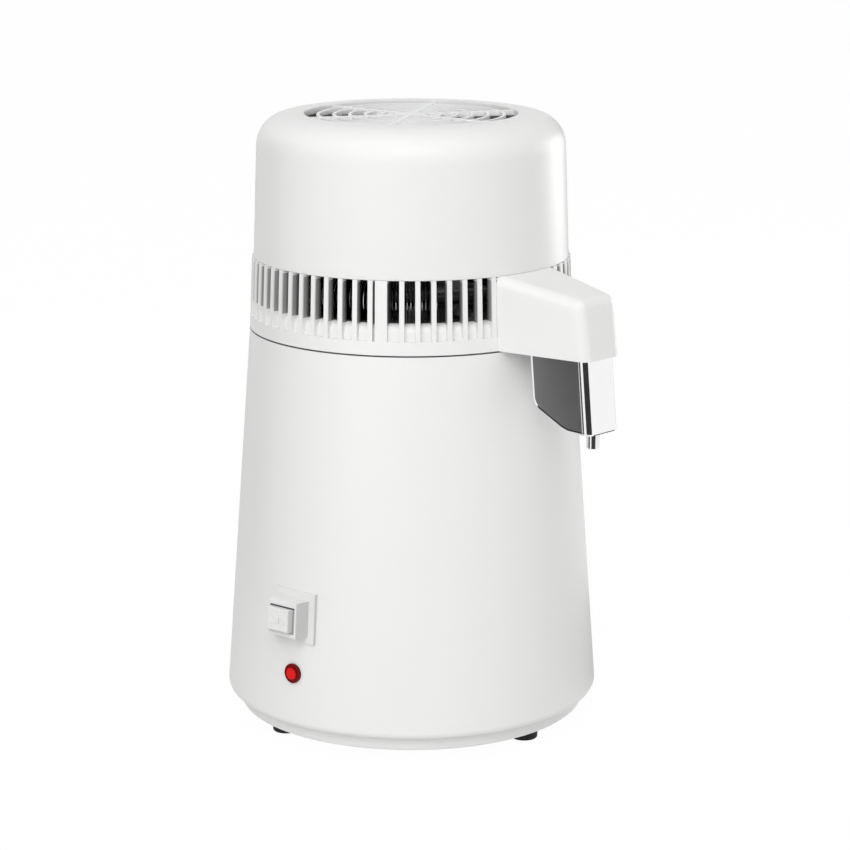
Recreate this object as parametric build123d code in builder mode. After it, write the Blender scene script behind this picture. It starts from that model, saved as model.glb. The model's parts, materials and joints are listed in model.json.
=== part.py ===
"""Countertop water distiller: a tapered casing round a boiling chamber, and a lift-off head that holds
the lid, the finned condenser, the fan and the spout. Lengths are in millimetres. The origin is on the
floor, on the casing's axis. The spout points close to -Y, the switch along -X and the inlets along +Y."""

import math
import os

from build123d import *

os.makedirs("parts", exist_ok=True)

# Clearances shared by all pieces
overrun = 2.0
running_gap = 0.3
fit_gap = 0.1
shaft_gap = 0.05

# Directions round the axis, in degrees from +X
front_azimuth = -90.0
spout_azimuth = -95.45
switch_azimuth = 180.0
rear_azimuth = 90.0

# Screws, nuts and sheet shared by several pieces
screw_radius = 1.5
screw_head_radius = 2.8
screw_head_height = 2.0
nut_radius = 3.2
nut_height = 2.4
steel_sheet = 0.8

# Casing
body_base_radius = 115.3
body_taper = 16.8
body_height = 227.6
body_wall = 2.5
rim_round = 4.0
rim_bead = 6.6
bead_height = 4.0
bead_slope = 3.0
ledge_depth = 2.6
ledge_thickness = 4.0
ledge_slope = 6.0
case_boss_count = 4
case_boss_azimuth = 45.0
case_boss_inset = 10.7
case_boss_radius = 4.5
case_boss_height = 32.0
case_web = 3.0

# Feet and base pan
foot_height = 10.4
foot_radius = 9.0
foot_tip_radius = 8.2
foot_round = 1.2
foot_inset = 18.9
foot_spread = 113.0
foot_recess_radius = 4.5
foot_recess_depth = 5.0
pan_draft = 1.4
pan_reveal = 9.0
pan_height = 17.0
pan_wall = 2.5
pan_floor = 4.0
pan_round = 1.5
pan_gap = 0.4
pan_boss_radius = 5.0
pan_boss_height = 7.0

# Boiling chamber and its heater
chamber_flange = 7.7
chamber_under = 52.6
chamber_corner = 8.0
chamber_gap = 0.8
heat_plate_radius = 60.0
heat_plate_thickness = 6.0
element_circle = 42.0
element_radius = 4.0
element_arc = 300.0
terminal_radius = 2.5
terminal_length = 16.0
clamp_radius = 55.0
clamp_thickness = 2.0
stud_radius = 1.5
clamp_stud_circle = 50.5
clamp_stud_count = 3
stud_tail = 1.0
thermostat_radius = 8.0
thermostat_spacing = 20.0
thermostat_tab = 4.0
tab_thickness = 0.8
tab_length = 8.0
tab_spacing = 6.0
bracket_bar_width = 14.0
bracket_bar_overlap = 8.0
bracket_sheet = 1.5

# Start switch
switch_rise = 68.6
bezel_plate = 30.6
bezel_lift = 1.0
bezel_seat = 2.0
bezel_box = 21.6
bezel_reach = 12.3
bezel_lip = 2.0
bezel_round = 0.8
sleeve_wall = 1.2
sleeve_depth = 4.0
button_width = 16.6
button_height = 13.5
button_reach = 4.3
button_round = 0.7
button_flange = 0.8
button_flange_height = 1.5
button_travel = 3.0
stem_radius = 2.5
stem_grip = 5.0
spring_radius = 4.2
spring_wire = 0.45
spring_turns = 4
switch_depth = 11.0
switch_tab = 4.8
switch_tab_length = 4.0
switch_tab_spacing = 9.0

# Indicator lamp
lamp_rise = 33.2
lens_radius = 5.9
lens_lift = 1.4
lens_centre_radius = 3.6
lens_centre_rise = 1.2
lens_stem_radius = 4.6
lens_stem_depth = 9.0
lens_wall = 1.0
bulb_radius = 2.9
bulb_length = 15.0
bulb_lead_radius = 0.6
bulb_lead_length = 6.0

# Mains inlet
inlet_rise = 32.6
pad_width = 38.0
pad_height = 31.0
pad_lift = 0.5
pad_round = 3.0
inlet_flange_width = 31.0
inlet_flange_height = 24.0
inlet_flange_round = 2.5
inlet_flange = 2.4
inlet_width = 27.0
inlet_tall = 19.6
inlet_depth = 18.0
socket_width = 24.0
socket_height = 16.4
socket_bevel = 4.5
socket_depth = 15.5
blade_width = 2.0
blade_height = 4.0
blade_spacing = 14.0
blade_stagger = 4.0
blade_setback = 3.0
blade_tail = 7.0

# Vent ring
seam_gap = 0.6
ring_height = 43.4
ring_taper = 1.8
ring_wall = 2.2
shelf_height = 8.1
sill_setback = 3.6
sill_height = 17.8
sill_round = 5.5
sill_lip = 1.5
ring_flange_width = 17.5
ring_flange = 2.5
rib_places = 66
rib_thickness = 2.9
rib_depth = 5.2
first_rib = 3
pillar_rib = 10
pillar_shift = 1.65
pillar_width = 7.1
pillar_depth = 12.2
pillar_screw_inset = 3.8
spigot_height = 6.0
spigot_wall = 2.4
spigot_root = 1.0

# Spout, moulded with the vent ring
spout_length = 55.1
spout_tip_width = 30.1
spout_root_share = 0.526
spout_wall = 1.2
spout_lean = 8.0
spout_slope = 9.0
spout_round = 6.5
spout_dam = 0.7

# Filter cup and outlet
cup_side_gap = 1.55
cup_front_gap = 2.55
cup_back_gap = 9.7
cup_lean = 5.4
cup_lift = 10.0
cup_depth = 43.7
cup_slope = 25.2
cup_slope_length = 27.95
cup_back_height = 31.6
cup_back_round = 10.0
cup_floor_round = 26.0
cup_edge = 1.3
cup_corner = 5.0
cup_sheet = 0.8
outlet_inset = 4.8
outlet_radius = 3.75
outlet_wall = 0.6
outlet_length = 9.6
outlet_stand = 3.0

# Dome cover
dome_step = 1.1
dome_taper = 3.1
dome_height = 85.5
dome_wall = 2.5
dome_round = 19.0
grille_inset = 28.1
grille_recess = 0.8
grille_thickness = 3.0
grille_hub_share = 0.779
grille_rib = 2.0
grille_rings = 6
spoke_count = 6
spoke_width = 4.0
spoke_azimuth = 26.0
dome_boss_height = 15.0
dome_web = 2.5

# Steam lid and gasket
gasket_inset = 0.6
gasket_margin = 0.7
gasket_thickness = 2.4
lid_step = 10.0
lid_plateau_height = 8.0
lid_draft = 1.0
lid_stud_inset = 4.2
lid_stud_count = 6
lid_stud_azimuth = 15.0

# Condenser
coil_gap = 1.5
coil_rise = 19.3
coil_tube = 4.5
coil_wall = 0.6
coil_bend = 12.0
coil_start = -60.0
coil_end = 235.0
coil_drop = 8.0
coil_outlet_reach = 29.5
coil_outlet_dip = 3.0
fin_radius = 14.0
fin_thickness = 0.5
fin_count = 64
fin_margin = 6.0
clip_sheet = 1.5
clip_width = 10.0
clip_foot = 8.0
clip_gaps = (8, 31, 54)

# Fan motor and its bracket
bracket_rise = 43.3
bracket_radius = 36.0
bracket_hole = 8.0
bracket_legs = 3
bracket_leg_azimuth = 30.0
bracket_leg_width = 12.0
bracket_foot = 12.0
core_width = 50.0
core_front = 22.0
core_back = 36.0
core_height = 16.0
window_width = 30.0
window_depth = 10.0
yoke_depth = 8.0
winding_width = 26.0
winding_margin = 6.5
cap_height = 7.0
cap_bar = 2.5
cap_bar_width = 14.0
cap_foot = 9.0
cap_boss_radius = 6.0
motor_screw_offset = 20.0
rotor_radius = 12.0
rotor_margin = 0.5
motor_shaft_radius = 2.0
hub_radius = 13.0
hub_height = 16.0
hub_clearance = 4.0
hub_round = 3.0
hub_stop = 1.0
blade_count = 5
fan_margin = 2.4
blade_root_chord = 24.0
blade_tip_chord = 34.0
blade_thickness = 1.6
blade_root_pitch = 38.0
blade_tip_pitch = 24.0
blade_root_inset = 2.0

# Fan inlet on the head
fan_inlet_rise = 39.0
fan_flange_width = 24.0
fan_flange_height = 13.0
fan_flange = 1.6
fan_inlet_seat = 2.0
fan_inlet_width = 19.0
fan_inlet_tall = 9.6
fan_inlet_depth = 14.0
fan_socket_width = 16.0
fan_socket_height = 7.0
fan_socket_depth = 12.0
fan_pin_radius = 1.2
fan_pin_spacing = 8.6
fan_pin_setback = 2.5
fan_pin_tail = 6.0

# Levels above the floor
rim_level = foot_height + pan_reveal
switch_height = rim_level + switch_rise
lamp_height = rim_level + lamp_rise
inlet_height = rim_level + inlet_rise
body_top = rim_level + body_height
ledge_level = body_top - ledge_depth
chamber_rim = ledge_level + steel_sheet
chamber_floor = chamber_rim - body_height + chamber_under
plate_level = chamber_floor - steel_sheet - heat_plate_thickness
clamp_level = plate_level - element_radius - clamp_thickness
pan_floor_level = foot_height + pan_floor
pan_top = foot_height + pan_height
case_boss_top = pan_floor_level + case_boss_height
lid_level = chamber_rim + running_gap + gasket_thickness
lid_plateau = lid_level + lid_plateau_height + steel_sheet
ring_flange_level = lid_level + steel_sheet
ring_flange_top = ring_flange_level + ring_flange
ring_bottom = body_top + seam_gap
ring_top = ring_bottom + ring_height
shelf_level = ring_bottom + shelf_height
sill_top = ring_bottom + sill_height
spigot_top = ring_top + spigot_height
dome_top = ring_top + dome_height
grille_level = dome_top - grille_recess
fan_inlet_height = ring_top + fan_inlet_rise
coil_height = lid_plateau + coil_rise
bracket_top = lid_plateau + bracket_rise
core_level = bracket_top + cap_height
core_top = core_level + core_height
cap_top = core_top + cap_height
hub_level = cap_top + hub_clearance

# Radii and widths that follow from the casing
body_top_radius = body_base_radius - body_taper
rim_inner_radius = body_base_radius - rim_bead
pan_radius = rim_inner_radius - pan_gap - pan_draft
foot_circle = pan_radius - foot_inset
case_boss_circle = rim_inner_radius - case_boss_inset
flange_radius = body_top_radius - body_wall - running_gap
chamber_radius = flange_radius - chamber_flange
chamber_outer_radius = chamber_radius + steel_sheet
gasket_inner_radius = chamber_radius + gasket_inset
gasket_outer_radius = flange_radius - gasket_margin
lid_plateau_radius = chamber_radius - lid_step
ring_top_radius = body_top_radius - ring_taper
ring_flange_radius = body_top_radius - ring_flange_width
lid_stud_circle = ring_flange_radius + lid_stud_inset
sill_radius = body_top_radius - sill_setback
rib_inner_radius = ring_top_radius - rib_depth
pillar_inner_radius = ring_top_radius - pillar_depth
pillar_screw_circle = pillar_inner_radius + pillar_screw_inset
coil_circle = pillar_inner_radius - coil_gap - fin_radius
coil_outlet_circle = body_top_radius + coil_outlet_reach
spout_reach = body_top_radius + spout_length
spout_root_width = body_top_radius * spout_root_share
cup_width = spout_tip_width - 2 * cup_side_gap
cup_front = spout_reach - cup_front_gap
cup_back = body_top_radius + cup_back_gap
outlet_circle = cup_front - outlet_inset
dome_base_radius = ring_top_radius - dome_step
dome_top_radius = dome_base_radius - dome_taper
grille_radius = dome_top_radius - grille_inset
grille_pitch = grille_radius / (grille_rings + grille_hub_share)
fan_radius = grille_radius - fan_margin


def between(low, high, share):
    """Value a share of the way from low to high."""
    return low + share * (high - low)


def body_radius(level):
    """Outer radius of the tapered casing at a level."""
    return between(body_base_radius, body_top_radius, (level - rim_level) / body_height)


def ring_radius(level):
    """Outer radius of the vent ring at a level."""
    return between(body_top_radius, ring_top_radius, (level - ring_bottom) / ring_height)


def dome_radius(level):
    """Radius of the dome's tapered side at a level."""
    return between(dome_base_radius, dome_top_radius, (level - ring_top) / dome_height)


def direction(azimuth):
    """Unit vector that points out at an azimuth."""
    return Vector(math.cos(math.radians(azimuth)), math.sin(math.radians(azimuth)), 0)


def sideways(azimuth):
    """Unit vector along the circle at an azimuth."""
    return Vector(-math.sin(math.radians(azimuth)), math.cos(math.radians(azimuth)), 0)


def radial_plane(azimuth):
    """Upright plane through the axis: its x runs outwards and its y upwards."""
    return Plane(origin=(0, 0, 0), x_dir=direction(azimuth), z_dir=-sideways(azimuth))


def wall_plane(azimuth, radius, level, draft):
    """Plane on a tapered wall: its z points out of the wall and its y up the wall."""
    out = direction(azimuth) + Vector(0, 0, draft)
    return Plane(origin=direction(azimuth) * radius + Vector(0, 0, level),
                 x_dir=sideways(azimuth), z_dir=out.normalized())


def helix_path(radius, pitch, turns):
    """Helix about +Z from the origin's level, as pairs of tangent arcs for each quarter turn."""
    rise = pitch / math.tau
    steps = 4 * turns
    for step in range(steps):
        ends = []
        for at in (step, step + 1):
            turn = at * math.pi / 2
            point = Vector(radius * math.cos(turn), radius * math.sin(turn), rise * turn)
            heading = Vector(-radius * math.sin(turn), radius * math.cos(turn), rise)
            ends.append((point, heading.normalized()))
        (first, leaving), (last, arriving) = ends
        chord = last - first
        both = leaving + arriving
        spread = 2 * (1 - leaving.dot(arriving))
        along = chord.dot(both)
        reach = (math.sqrt(along * along + spread * chord.dot(chord)) - along) / spread
        middle = (first + leaving * reach + last - arriving * reach) * 0.5
        lead = TangentArc(first, middle, tangent=leaving)
        TangentArc(middle, last, tangent=lead % 1)


def least_gap(points, neighbours, thickness):
    """Smallest clear distance between stretches of a tube that aren't next to each other."""
    gaps = [
        (points[i] - points[j]).length
        for i in range(len(points))
        for j in range(i + neighbours, len(points))
    ]
    return min(gaps) - thickness


spigot_radius = dome_radius(spigot_top) - dome_wall - fit_gap
body_draft = (body_base_radius - body_top_radius) / body_height
dome_draft = (dome_base_radius - dome_top_radius) / dome_height
switch_plane = wall_plane(switch_azimuth, body_radius(switch_height), switch_height, body_draft)
lamp_plane = wall_plane(switch_azimuth, body_radius(lamp_height), lamp_height, body_draft)
inlet_plane = wall_plane(rear_azimuth, body_radius(inlet_height), inlet_height, body_draft)
fan_inlet_plane = wall_plane(rear_azimuth, dome_radius(fan_inlet_height), fan_inlet_height, dome_draft)

sleeve_width = button_width + 2 * (button_flange + running_gap + sleeve_wall)
sleeve_height = button_height + 2 * (button_flange + running_gap + sleeve_wall)

# Tapered form of the casing, which pieces seated on its wall are cut by
with BuildPart() as casing_form:
    with BuildSketch(Plane.XZ):
        with BuildLine():
            Polyline(
                (0, rim_level),
                (body_base_radius + fit_gap, rim_level),
                (body_top_radius + fit_gap, body_top),
                (0, body_top),
                close=True,
            )
        make_face()
    revolve(axis=Axis.Z)

# Outer body: tapered shell with a beaded lower rim, a ledge for the chamber and four screw bosses
with BuildPart() as outer_body:
    with BuildSketch(Plane.XZ) as body_section:
        with BuildLine():
            Polyline(
                (rim_inner_radius, rim_level),
                (body_base_radius, rim_level),
                (body_top_radius, body_top),
                (body_top_radius - body_wall, body_top),
                (body_top_radius - body_wall, ledge_level),
                (chamber_outer_radius + chamber_gap, ledge_level),
                (chamber_outer_radius + chamber_gap, ledge_level - ledge_thickness),
                (body_top_radius - body_wall, ledge_level - ledge_thickness - ledge_slope),
                (body_radius(rim_level + bead_height + bead_slope) - body_wall,
                 rim_level + bead_height + bead_slope),
                (rim_inner_radius, rim_level + bead_height),
                close=True,
            )
        make_face()
        fillet(body_section.vertices().sort_by(Axis.X)[-1], radius=rim_round)
    revolve(axis=Axis.Z)
    with BuildSketch(Plane.XY.offset(pan_floor_level)):
        with PolarLocations(case_boss_circle, case_boss_count, start_angle=case_boss_azimuth):
            Circle(case_boss_radius)
    extrude(amount=case_boss_height)
    web_end = body_radius(case_boss_top) - body_wall / 4
    web_middle = (case_boss_circle + web_end) / 2
    with BuildSketch(Plane.XY.offset(pan_top + fit_gap)):
        with PolarLocations(web_middle, case_boss_count, start_angle=case_boss_azimuth):
            Rectangle(web_end - case_boss_circle, case_web)
    extrude(amount=case_boss_top - pan_top - fit_gap)
    with BuildSketch(Plane.XY.offset(pan_floor_level)):
        with PolarLocations(case_boss_circle, case_boss_count, start_angle=case_boss_azimuth):
            Circle(screw_radius + shaft_gap)
    extrude(amount=case_boss_height - case_boss_radius, mode=Mode.SUBTRACT)
    with BuildSketch(inlet_plane.offset(pad_lift)):
        RectangleRounded(pad_width, pad_height, pad_round)
    extrude(amount=-(pad_lift + body_wall))
    with BuildSketch(inlet_plane.offset(pad_lift)):
        Rectangle(inlet_width + 2 * fit_gap, inlet_tall + 2 * fit_gap)
    extrude(amount=-(pad_lift + 2 * body_wall), mode=Mode.SUBTRACT)
    with BuildSketch(switch_plane.offset(body_wall)):
        Rectangle(sleeve_width + 2 * fit_gap, sleeve_height + 2 * fit_gap)
    extrude(amount=-3 * body_wall, mode=Mode.SUBTRACT)
    with BuildSketch(lamp_plane.offset(body_wall)):
        Circle(lens_stem_radius + shaft_gap)
    extrude(amount=-3 * body_wall, mode=Mode.SUBTRACT)
outer_body.part.label = "outer_body"
export_step(outer_body.part, "parts/outer_body.step")

# Base pan: shallow dish with bosses for the feet and counterbored holes for the casing's screws
foot_azimuths = [front_azimuth + turn for turn in (0, foot_spread, -foot_spread)]
foot_points = [direction(azimuth) * foot_circle for azimuth in foot_azimuths]
with BuildPart() as base_pan:
    with BuildSketch(Plane.XZ) as pan_section:
        with BuildLine():
            Polyline(
                (0, foot_height),
                (pan_radius, foot_height),
                (rim_inner_radius - pan_gap, rim_level),
                (rim_inner_radius - pan_gap, pan_top),
                (rim_inner_radius - pan_gap - pan_wall, pan_top),
                (rim_inner_radius - pan_gap - pan_wall, rim_level),
                (pan_radius - pan_wall, pan_floor_level),
                (0, pan_floor_level),
                close=True,
            )
        make_face()
        fillet(pan_section.vertices().group_by(Axis.Y)[0].sort_by(Axis.X)[-1], radius=pan_round)
    revolve(axis=Axis.Z)
    with BuildSketch(Plane.XY.offset(pan_floor_level)):
        with Locations(*foot_points):
            Circle(pan_boss_radius)
    extrude(amount=pan_boss_height)
    with BuildSketch(Plane.XY.offset(foot_height)):
        with Locations(*foot_points):
            Circle(screw_radius + shaft_gap)
        with PolarLocations(case_boss_circle, case_boss_count, start_angle=case_boss_azimuth):
            Circle(screw_radius + shaft_gap)
    extrude(amount=pan_floor + pan_boss_height, mode=Mode.SUBTRACT)
    with BuildSketch(Plane.XY.offset(foot_height)):
        with PolarLocations(case_boss_circle, case_boss_count, start_angle=case_boss_azimuth):
            Circle(screw_head_radius + fit_gap)
    extrude(amount=screw_head_height + fit_gap, mode=Mode.SUBTRACT)
base_pan.part.label = "base_pan"
export_step(base_pan.part, "parts/base_pan.step")

# Feet: rubber studs with a recess for their screw
for foot_name, foot_point in zip(("foot_front", "foot_rear_right", "foot_rear_left"), foot_points):
    with BuildPart() as foot:
        with BuildSketch(Plane.XZ) as foot_section:
            with BuildLine():
                Polyline(
                    (screw_radius + shaft_gap, foot_recess_depth),
                    (foot_recess_radius, foot_recess_depth),
                    (foot_recess_radius, 0),
                    (foot_tip_radius, 0),
                    (foot_radius, foot_height),
                    (screw_radius + shaft_gap, foot_height),
                    close=True,
                )
            make_face()
            fillet(foot_section.vertices().group_by(Axis.Y)[0].sort_by(Axis.X)[-1], radius=foot_round)
        revolve(axis=Axis.Z)
    foot.part.position = foot_point
    foot.part.label = foot_name
    export_step(foot.part, f"parts/{foot_name}.step")

# Foot screws: each holds a foot to the pan
with BuildPart() as foot_screws:
    with BuildSketch(Plane.XY.offset(foot_recess_depth)):
        with Locations(*foot_points):
            Circle(screw_head_radius)
    extrude(amount=-screw_head_height)
    with BuildSketch(Plane.XY.offset(foot_recess_depth)):
        with Locations(*foot_points):
            Circle(screw_radius)
    extrude(amount=pan_floor_level + pan_boss_height - foot_recess_depth - stud_tail)
foot_screws.part.label = "foot_screws"
export_step(foot_screws.part, "parts/foot_screws.step")

# Base screws: each holds the pan to a boss of the casing
with BuildPart() as base_screws:
    with BuildSketch(Plane.XY.offset(foot_height + fit_gap)):
        with PolarLocations(case_boss_circle, case_boss_count, start_angle=case_boss_azimuth):
            Circle(screw_head_radius)
    extrude(amount=screw_head_height)
    with BuildSketch(Plane.XY.offset(foot_height + fit_gap + screw_head_height)):
        with PolarLocations(case_boss_circle, case_boss_count, start_angle=case_boss_azimuth):
            Circle(screw_radius)
    extrude(amount=case_boss_height - 2 * case_boss_radius)
base_screws.part.label = "base_screws"
export_step(base_screws.part, "parts/base_screws.step")

# Boiling chamber: deep drawn steel pot that hangs by its flange
with BuildPart() as boiling_chamber:
    with BuildSketch(Plane.XZ) as chamber_section:
        with BuildLine():
            Polyline(
                (0, chamber_floor - steel_sheet),
                (chamber_outer_radius, chamber_floor - steel_sheet),
                (chamber_outer_radius, ledge_level),
                (flange_radius, ledge_level),
                (flange_radius, chamber_rim),
                (chamber_radius, chamber_rim),
                (chamber_radius, chamber_floor),
                (0, chamber_floor),
                close=True,
            )
        make_face()
        corners = chamber_section.vertices().group_by(Axis.Y)
        fillet(corners[0].sort_by(Axis.X)[-1], radius=chamber_corner + steel_sheet)
        corners = chamber_section.vertices().filter_by_position(
            Axis.Y, chamber_floor - shaft_gap, chamber_floor + shaft_gap)
        fillet(corners.sort_by(Axis.X)[-1], radius=chamber_corner)
    revolve(axis=Axis.Z)
boiling_chamber.part.label = "boiling_chamber"
export_step(boiling_chamber.part, "parts/boiling_chamber.step")

# Heat plate: thick disc under the chamber, grooved for the element, with three studs
with BuildPart() as heat_plate:
    with BuildSketch(Plane.XY.offset(plate_level)):
        Circle(heat_plate_radius)
    extrude(amount=heat_plate_thickness)
    with BuildSketch(Plane.XZ):
        with Locations((element_circle, plate_level)):
            Circle(element_radius + shaft_gap)
    revolve(axis=Axis.Z, mode=Mode.SUBTRACT)
    with BuildSketch(Plane.XY.offset(plate_level)):
        with PolarLocations(clamp_stud_circle, clamp_stud_count, start_angle=rear_azimuth):
            Circle(stud_radius)
    extrude(amount=-(plate_level - clamp_level + nut_height + stud_tail))
heat_plate.part.label = "heat_plate"
export_step(heat_plate.part, "parts/heat_plate.step")

# Heating element: open ring of tube with two terminals that point down
element_from = rear_azimuth + (360 - element_arc) / 2
terminal_points = [
    direction(element_from) * element_circle + Vector(0, 0, plate_level),
    direction(element_from + element_arc) * element_circle + Vector(0, 0, plate_level),
]
element_start_plane = radial_plane(element_from)
with BuildPart() as heating_element:
    with BuildSketch(element_start_plane):
        with Locations((element_circle, plate_level)):
            Circle(element_radius)
    revolve(axis=Axis.Z, revolution_arc=element_arc)
    with Locations(*terminal_points):
        Sphere(element_radius)
    with BuildSketch(Plane.XY.offset(plate_level)):
        with Locations(*terminal_points):
            Circle(terminal_radius)
    extrude(amount=-terminal_length)
heating_element.part.label = "heating_element"
export_step(heating_element.part, "parts/heating_element.step")

# Element clamp: steel ring on the three studs that presses the element into its groove
clamp_hole_radius = (thermostat_spacing + 2 * thermostat_radius) / 2 + overrun
with BuildPart() as element_clamp:
    with BuildSketch(Plane.XY.offset(clamp_level)):
        Circle(clamp_radius)
        Circle(clamp_hole_radius, mode=Mode.SUBTRACT)
        with PolarLocations(clamp_stud_circle, clamp_stud_count, start_angle=rear_azimuth):
            Circle(stud_radius + shaft_gap, mode=Mode.SUBTRACT)
        with Locations(*[(point.X, point.Y) for point in terminal_points]):
            Circle(element_radius + fit_gap, mode=Mode.SUBTRACT)
    extrude(amount=clamp_thickness)
element_clamp.part.label = "element_clamp"
export_step(element_clamp.part, "parts/element_clamp.step")

# Clamp nuts on the heat plate's studs
with BuildPart() as clamp_nuts:
    with BuildSketch(Plane.XY.offset(clamp_level)):
        with PolarLocations(clamp_stud_circle, clamp_stud_count, start_angle=rear_azimuth):
            RegularPolygon(nut_radius, 6)
            Circle(stud_radius + shaft_gap, mode=Mode.SUBTRACT)
    extrude(amount=-nut_height)
clamp_nuts.part.label = "clamp_nuts"
export_step(clamp_nuts.part, "parts/clamp_nuts.step")

# Thermostats: bimetal discs under the heat plate, each with two tabs
for thermostat_name, side in (("boil_thermostat", -1), ("reset_thermostat", 1)):
    with BuildPart() as thermostat:
        with BuildSketch(Plane.XY.offset(clamp_level)):
            with Locations((side * thermostat_spacing / 2, 0)):
                Circle(thermostat_radius)
        extrude(amount=plate_level - clamp_level)
        with BuildSketch(Plane.XY.offset(clamp_level)):
            with Locations((side * thermostat_spacing / 2, 0)):
                with GridLocations(0, tab_spacing, 1, 2):
                    Rectangle(thermostat_tab, tab_thickness)
        extrude(amount=-tab_length)
    thermostat.part.label = thermostat_name
    export_step(thermostat.part, f"parts/{thermostat_name}.step")

# Thermostat bracket: bar under the clamp that holds both thermostats up, open round their tabs
bracket_bar_length = 2 * (clamp_hole_radius + bracket_bar_overlap)
with BuildPart() as thermostat_bracket:
    with BuildSketch(Plane.XY.offset(clamp_level)):
        SlotOverall(bracket_bar_length, bracket_bar_width)
        with GridLocations(thermostat_spacing, 0, 2, 1):
            Circle((tab_spacing + thermostat_tab) / 2, mode=Mode.SUBTRACT)
    extrude(amount=-bracket_sheet)
thermostat_bracket.part.label = "thermostat_bracket"
export_step(thermostat_bracket.part, "parts/thermostat_bracket.step")

# Switch bezel: square plate with a box collar, seated on the tapered wall, and a sleeve through it
well_width = button_width + 2 * (button_flange + running_gap)
well_height = button_height + 2 * (button_flange + running_gap)
with BuildPart() as switch_bezel:
    with BuildSketch(switch_plane.offset(bezel_lift)):
        Rectangle(bezel_plate, bezel_plate)
    extrude(amount=-(bezel_lift + bezel_seat))
    add(casing_form.part, mode=Mode.SUBTRACT)
    with BuildSketch(switch_plane.offset(bezel_lift)):
        Rectangle(bezel_box, bezel_box)
    extrude(amount=bezel_reach - bezel_lift)
    collar_front = switch_bezel.faces().sort_by(Axis(switch_plane.origin, switch_plane.z_dir))[-1]
    fillet(collar_front.edges(), radius=bezel_round)
    with BuildSketch(switch_plane.offset(bezel_lift)):
        Rectangle(sleeve_width, sleeve_height)
    extrude(amount=-(bezel_lift + sleeve_depth))
    with BuildSketch(switch_plane.offset(-sleeve_depth)):
        Rectangle(well_width, well_height)
    extrude(amount=sleeve_depth + bezel_reach - bezel_lip, mode=Mode.SUBTRACT)
    with BuildSketch(switch_plane.offset(bezel_reach - bezel_lip)):
        Rectangle(button_width + 2 * running_gap, button_height + 2 * running_gap)
    extrude(amount=bezel_lip + overrun, mode=Mode.SUBTRACT)
switch_bezel.part.label = "switch_bezel"
export_step(switch_bezel.part, "parts/switch_bezel.step")

# Start button: flanged cap with a stem that runs in the switch
button_back = bezel_reach - bezel_lip - running_gap - button_flange_height
stem_end = -(sleeve_depth + stem_grip)
with BuildPart() as start_button:
    with BuildSketch(switch_plane.offset(button_back)):
        Rectangle(button_width, button_height)
    extrude(amount=bezel_reach + button_reach - button_back)
    cap_front = start_button.faces().sort_by(Axis(switch_plane.origin, switch_plane.z_dir))[-1]
    fillet(cap_front.edges(), radius=button_round)
    with BuildSketch(switch_plane.offset(button_back)):
        Rectangle(button_width + 2 * button_flange, button_height + 2 * button_flange)
    extrude(amount=button_flange_height)
    with BuildSketch(switch_plane.offset(button_back)):
        Circle(stem_radius)
    extrude(amount=stem_end - button_back)
start_button.part.label = "start_button"
export_step(start_button.part, "parts/start_button.step")

# Start switch: latching switch block behind the bezel, bored for the button's stem
with BuildPart() as start_switch:
    with BuildSketch(switch_plane.offset(-sleeve_depth)):
        Rectangle(sleeve_width, sleeve_height)
    extrude(amount=-switch_depth)
    with BuildSketch(switch_plane.offset(-sleeve_depth)):
        Circle(stem_radius + shaft_gap)
    extrude(amount=-(stem_grip + button_travel + running_gap), mode=Mode.SUBTRACT)
start_switch.part.label = "start_switch"
export_step(start_switch.part, "parts/start_switch.step")

# Switch terminals: two tabs on the back of the switch
with BuildPart() as switch_terminals:
    with BuildSketch(switch_plane.offset(-sleeve_depth - switch_depth)):
        with GridLocations(switch_tab_spacing, 0, 2, 1):
            Rectangle(tab_thickness, switch_tab)
    extrude(amount=-switch_tab_length)
switch_terminals.part.label = "switch_terminals"
export_step(switch_terminals.part, "parts/switch_terminals.step")

# Button spring: one unbroken coil round the stem, between the switch and the cap
spring_span = button_back + sleeve_depth - 2 * (spring_wire + shaft_gap)
with BuildPart() as button_spring:
    with BuildLine() as spring_path:
        helix_path(spring_radius, spring_span / spring_turns, spring_turns)
    spring_wire_line = spring_path.wires()[0]
    with BuildSketch(Plane(origin=spring_wire_line @ 0, z_dir=spring_wire_line % 0)):
        Circle(spring_wire)
    sweep(path=spring_wire_line)
spring_points = [spring_wire_line @ (i / (24 * spring_turns)) for i in range(24 * spring_turns + 1)]
print("button spring least gap", round(least_gap(spring_points, 12, 2 * spring_wire), 2))
button_spring.part.locate(switch_plane.offset(spring_wire + shaft_gap - sleeve_depth).location)
button_spring.part.label = "button_spring"
export_step(button_spring.part, "parts/button_spring.step")

# Indicator lens: flanged red lens with a raised centre and a hollow stem
with BuildPart() as indicator_lens:
    with BuildSketch(lamp_plane.offset(lens_lift)):
        Circle(lens_radius)
    extrude(amount=-(lens_lift + body_wall))
    add(casing_form.part, mode=Mode.SUBTRACT)
    with BuildSketch(lamp_plane.offset(lens_lift)):
        Circle(lens_centre_radius)
    extrude(amount=lens_centre_rise)
    lens_front = indicator_lens.faces().sort_by(Axis(lamp_plane.origin, lamp_plane.z_dir))[-1]
    fillet(lens_front.edges(), radius=lens_centre_rise / 2)
    with BuildSketch(lamp_plane.offset(lens_lift / 2)):
        Circle(lens_stem_radius)
    extrude(amount=-(lens_lift / 2 + lens_stem_depth))
    with BuildSketch(lamp_plane.offset(-lens_stem_depth)):
        Circle(lens_stem_radius - lens_wall)
    extrude(amount=lens_stem_depth, mode=Mode.SUBTRACT)
indicator_lens.part.label = "indicator_lens"
export_step(indicator_lens.part, "parts/indicator_lens.step")

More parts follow.
